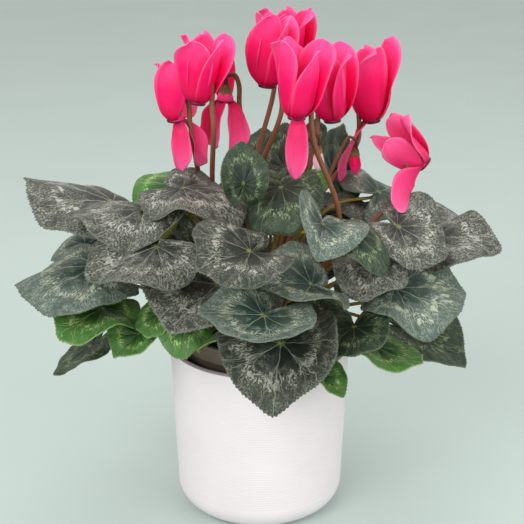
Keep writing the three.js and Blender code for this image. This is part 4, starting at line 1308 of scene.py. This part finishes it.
# %% Make the stalks
# Radius at the root and at the top.
LEAF_STALK, FLOWER_STALK, BUD_STALK = (1.6, 1.2), (2, 1.6), (1.3, 1.05)
# The inner leaves have no solid stalk to be found in, so they take the first bend of the list.
leaf_lines += [(0, leaf_stalk(row, *LEAF_BENDS[0])) for row in INNER]
parts = []
for row, (_, curve) in zip(LEAVES + INNER, leaf_lines):
    line = np.concatenate([bezier(curve, 26), [np.array(row[1:4]) - leaf_frame(row)[2] * 0.2]])
    parts.append(swept(line, np.linspace(*LEAF_STALK, len(line)), 10))
points, faces, uv = gathered(parts)
petiole_skin = stalk_skin("petiole tissue", "5f2f26", "7a5a2a", "9a8a3c")
petioles = made("leaf_stalks", points, faces, [petiole_skin], uv)

parts = [swept(spline(curve, 60), np.linspace(*FLOWER_STALK, 61), 14) for _, curve in bloom_lines]
parts += [swept(spline(curve, 40), np.linspace(*BUD_STALK, 41), 10) for _, curve in bud_lines]
points, faces, uv = gathered(parts)
scape_skin = stalk_skin("flower stalk tissue", "a0624a", "7d5238", "3c1f1c")
scapes = made("flower_stalks", points, faces, [scape_skin], uv)
print("leaf stalks", len(petioles.data.polygons), "faces, flower stalks", len(scapes.data.polygons))

# %% [markdown]
# ### Sepals
#
# Five small pointed sepals hold the tube from behind. They are one turned shape whose lower edge is cut
# into five points: the rings nearer the edge reach further down where a point is.

# %% Sepals on blooms and buds
def sepal_star(top, mouth, depth, reach):
    """A small cup with five points, open downwards: top radius, mouth radius, height and point length."""
    profile = [(top, depth)] + [(mix(top, mouth, (i / 8) ** 0.6), depth * (1 - i / 8)) for i in range(1, 9)]
    profile = [(0, depth + 0.2)] + profile

    def pointed(point, angle):
        share = 1 - point[2] / depth
        return (point[0], point[1], point[2] - reach * max(0, share) * abs(math.cos(2.5 * angle)) ** 0.7)

    points, faces, uv = turned(profile, 60, pointed)
    return points, [face[::-1] for face in faces], uv


SEPAL = 0.4
BLOOM_SEPALS, ABOVE_MOUTH = (1.9, 5.1, 6.4, 2.6), 6.6
BUD_SEPALS, BELOW_TOP = (1.3, 3, 3.6, 2.4), 2.9
parts = []
for row in BLOOMS:
    points, faces, uv = sepal_star(*BLOOM_SEPALS)
    parts.append(on_bloom(row, (np.array(points) + (0, 0, ABOVE_MOUTH), faces, uv)))
for _, x, y, z, *_ in BUDS:
    points, faces, uv = sepal_star(*BUD_SEPALS)
    parts.append((np.array(points) + (x, y, z - BELOW_TOP), faces, uv))
points, faces, uv = gathered(parts)
sepal_skin = stalk_skin("sepal tissue", "5a2a22", "6d4a2c", "8a6a45")
sepals = made("sepals", points, faces, [sepal_skin], uv)
body = sepals.modifiers.new("sepal thickness", "SOLIDIFY")
body.thickness, body.offset = SEPAL * MM, 0
print("sepals", len(sepals.data.polygons), "faces")

# %% [markdown]
# ## Tuber
#
# The plant grows from a flat corky tuber, half sunk in the peat. Its skin is rough and dark, cracked in
# plates of a few millimetres, and the scars of old leaves make its crown uneven.

# %% The corky tuber
TUBER_RADIUS, TUBER_HALF, TUBER_MIDDLE = 25, 12, 134


def corky(point, angle):
    """Pushes the skin in and out: broad lumps, and finer cork."""
    v = Vector(point)
    grow = 1 + 0.03 * noise.noise(v / 9) + 0.015 * noise.noise(v / 3)
    return (point[0] * grow, point[1] * grow, TUBER_MIDDLE + (point[2] - TUBER_MIDDLE) * grow)


def cork():
    """Cork skin: matt, cracked and dark brown. The cracks are drawn every 4 mm."""
    tree, finish = new_finish("cork skin")
    where = add(tree, "TexCoord", out="Object")
    plates = {"Vector": where, "Scale": 1 / 0.004}
    cracks = add(tree, "TexVoronoi", plates, feature="DISTANCE_TO_EDGE", out="Distance")
    plate = add(tree, "MapRange", {"Value": cracks, 1: 0.0, 2: 0.18})
    grain = add(tree, "TexNoise", {"Vector": where, "Scale": 1 / 0.002, "Detail": 4.0}, out="Fac")
    level = add(tree, "Math", {0: plate, 1: grain}, operation="MULTIPLY")
    tone = add(tree, "Mix", {0: level, 6: linear("2a1b14"), 7: linear("7a563b")}, out=2, data_type="RGBA")
    bump = add(tree, "Bump", {"Height": level, "Strength": 0.8, "Distance": 0.001})
    surface(tree, Base_Color=tone, Roughness=0.85, Normal=bump)
    return finish


slopes = np.linspace(-90, 90, 25)
skin_profile = [(TUBER_RADIUS * cosine(a), TUBER_MIDDLE + TUBER_HALF * sine(a)) for a in slopes]
points, faces, uv = turned(skin_profile, 60, corky)
tuber = made("tuber_cork", points, faces, [cork()], uv)
for piece in (petioles, scapes, sepals, tuber):
    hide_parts("tuber_with_stalks")
print("tuber", [round(v * 1000) for v in tuber.dimensions], "mm")
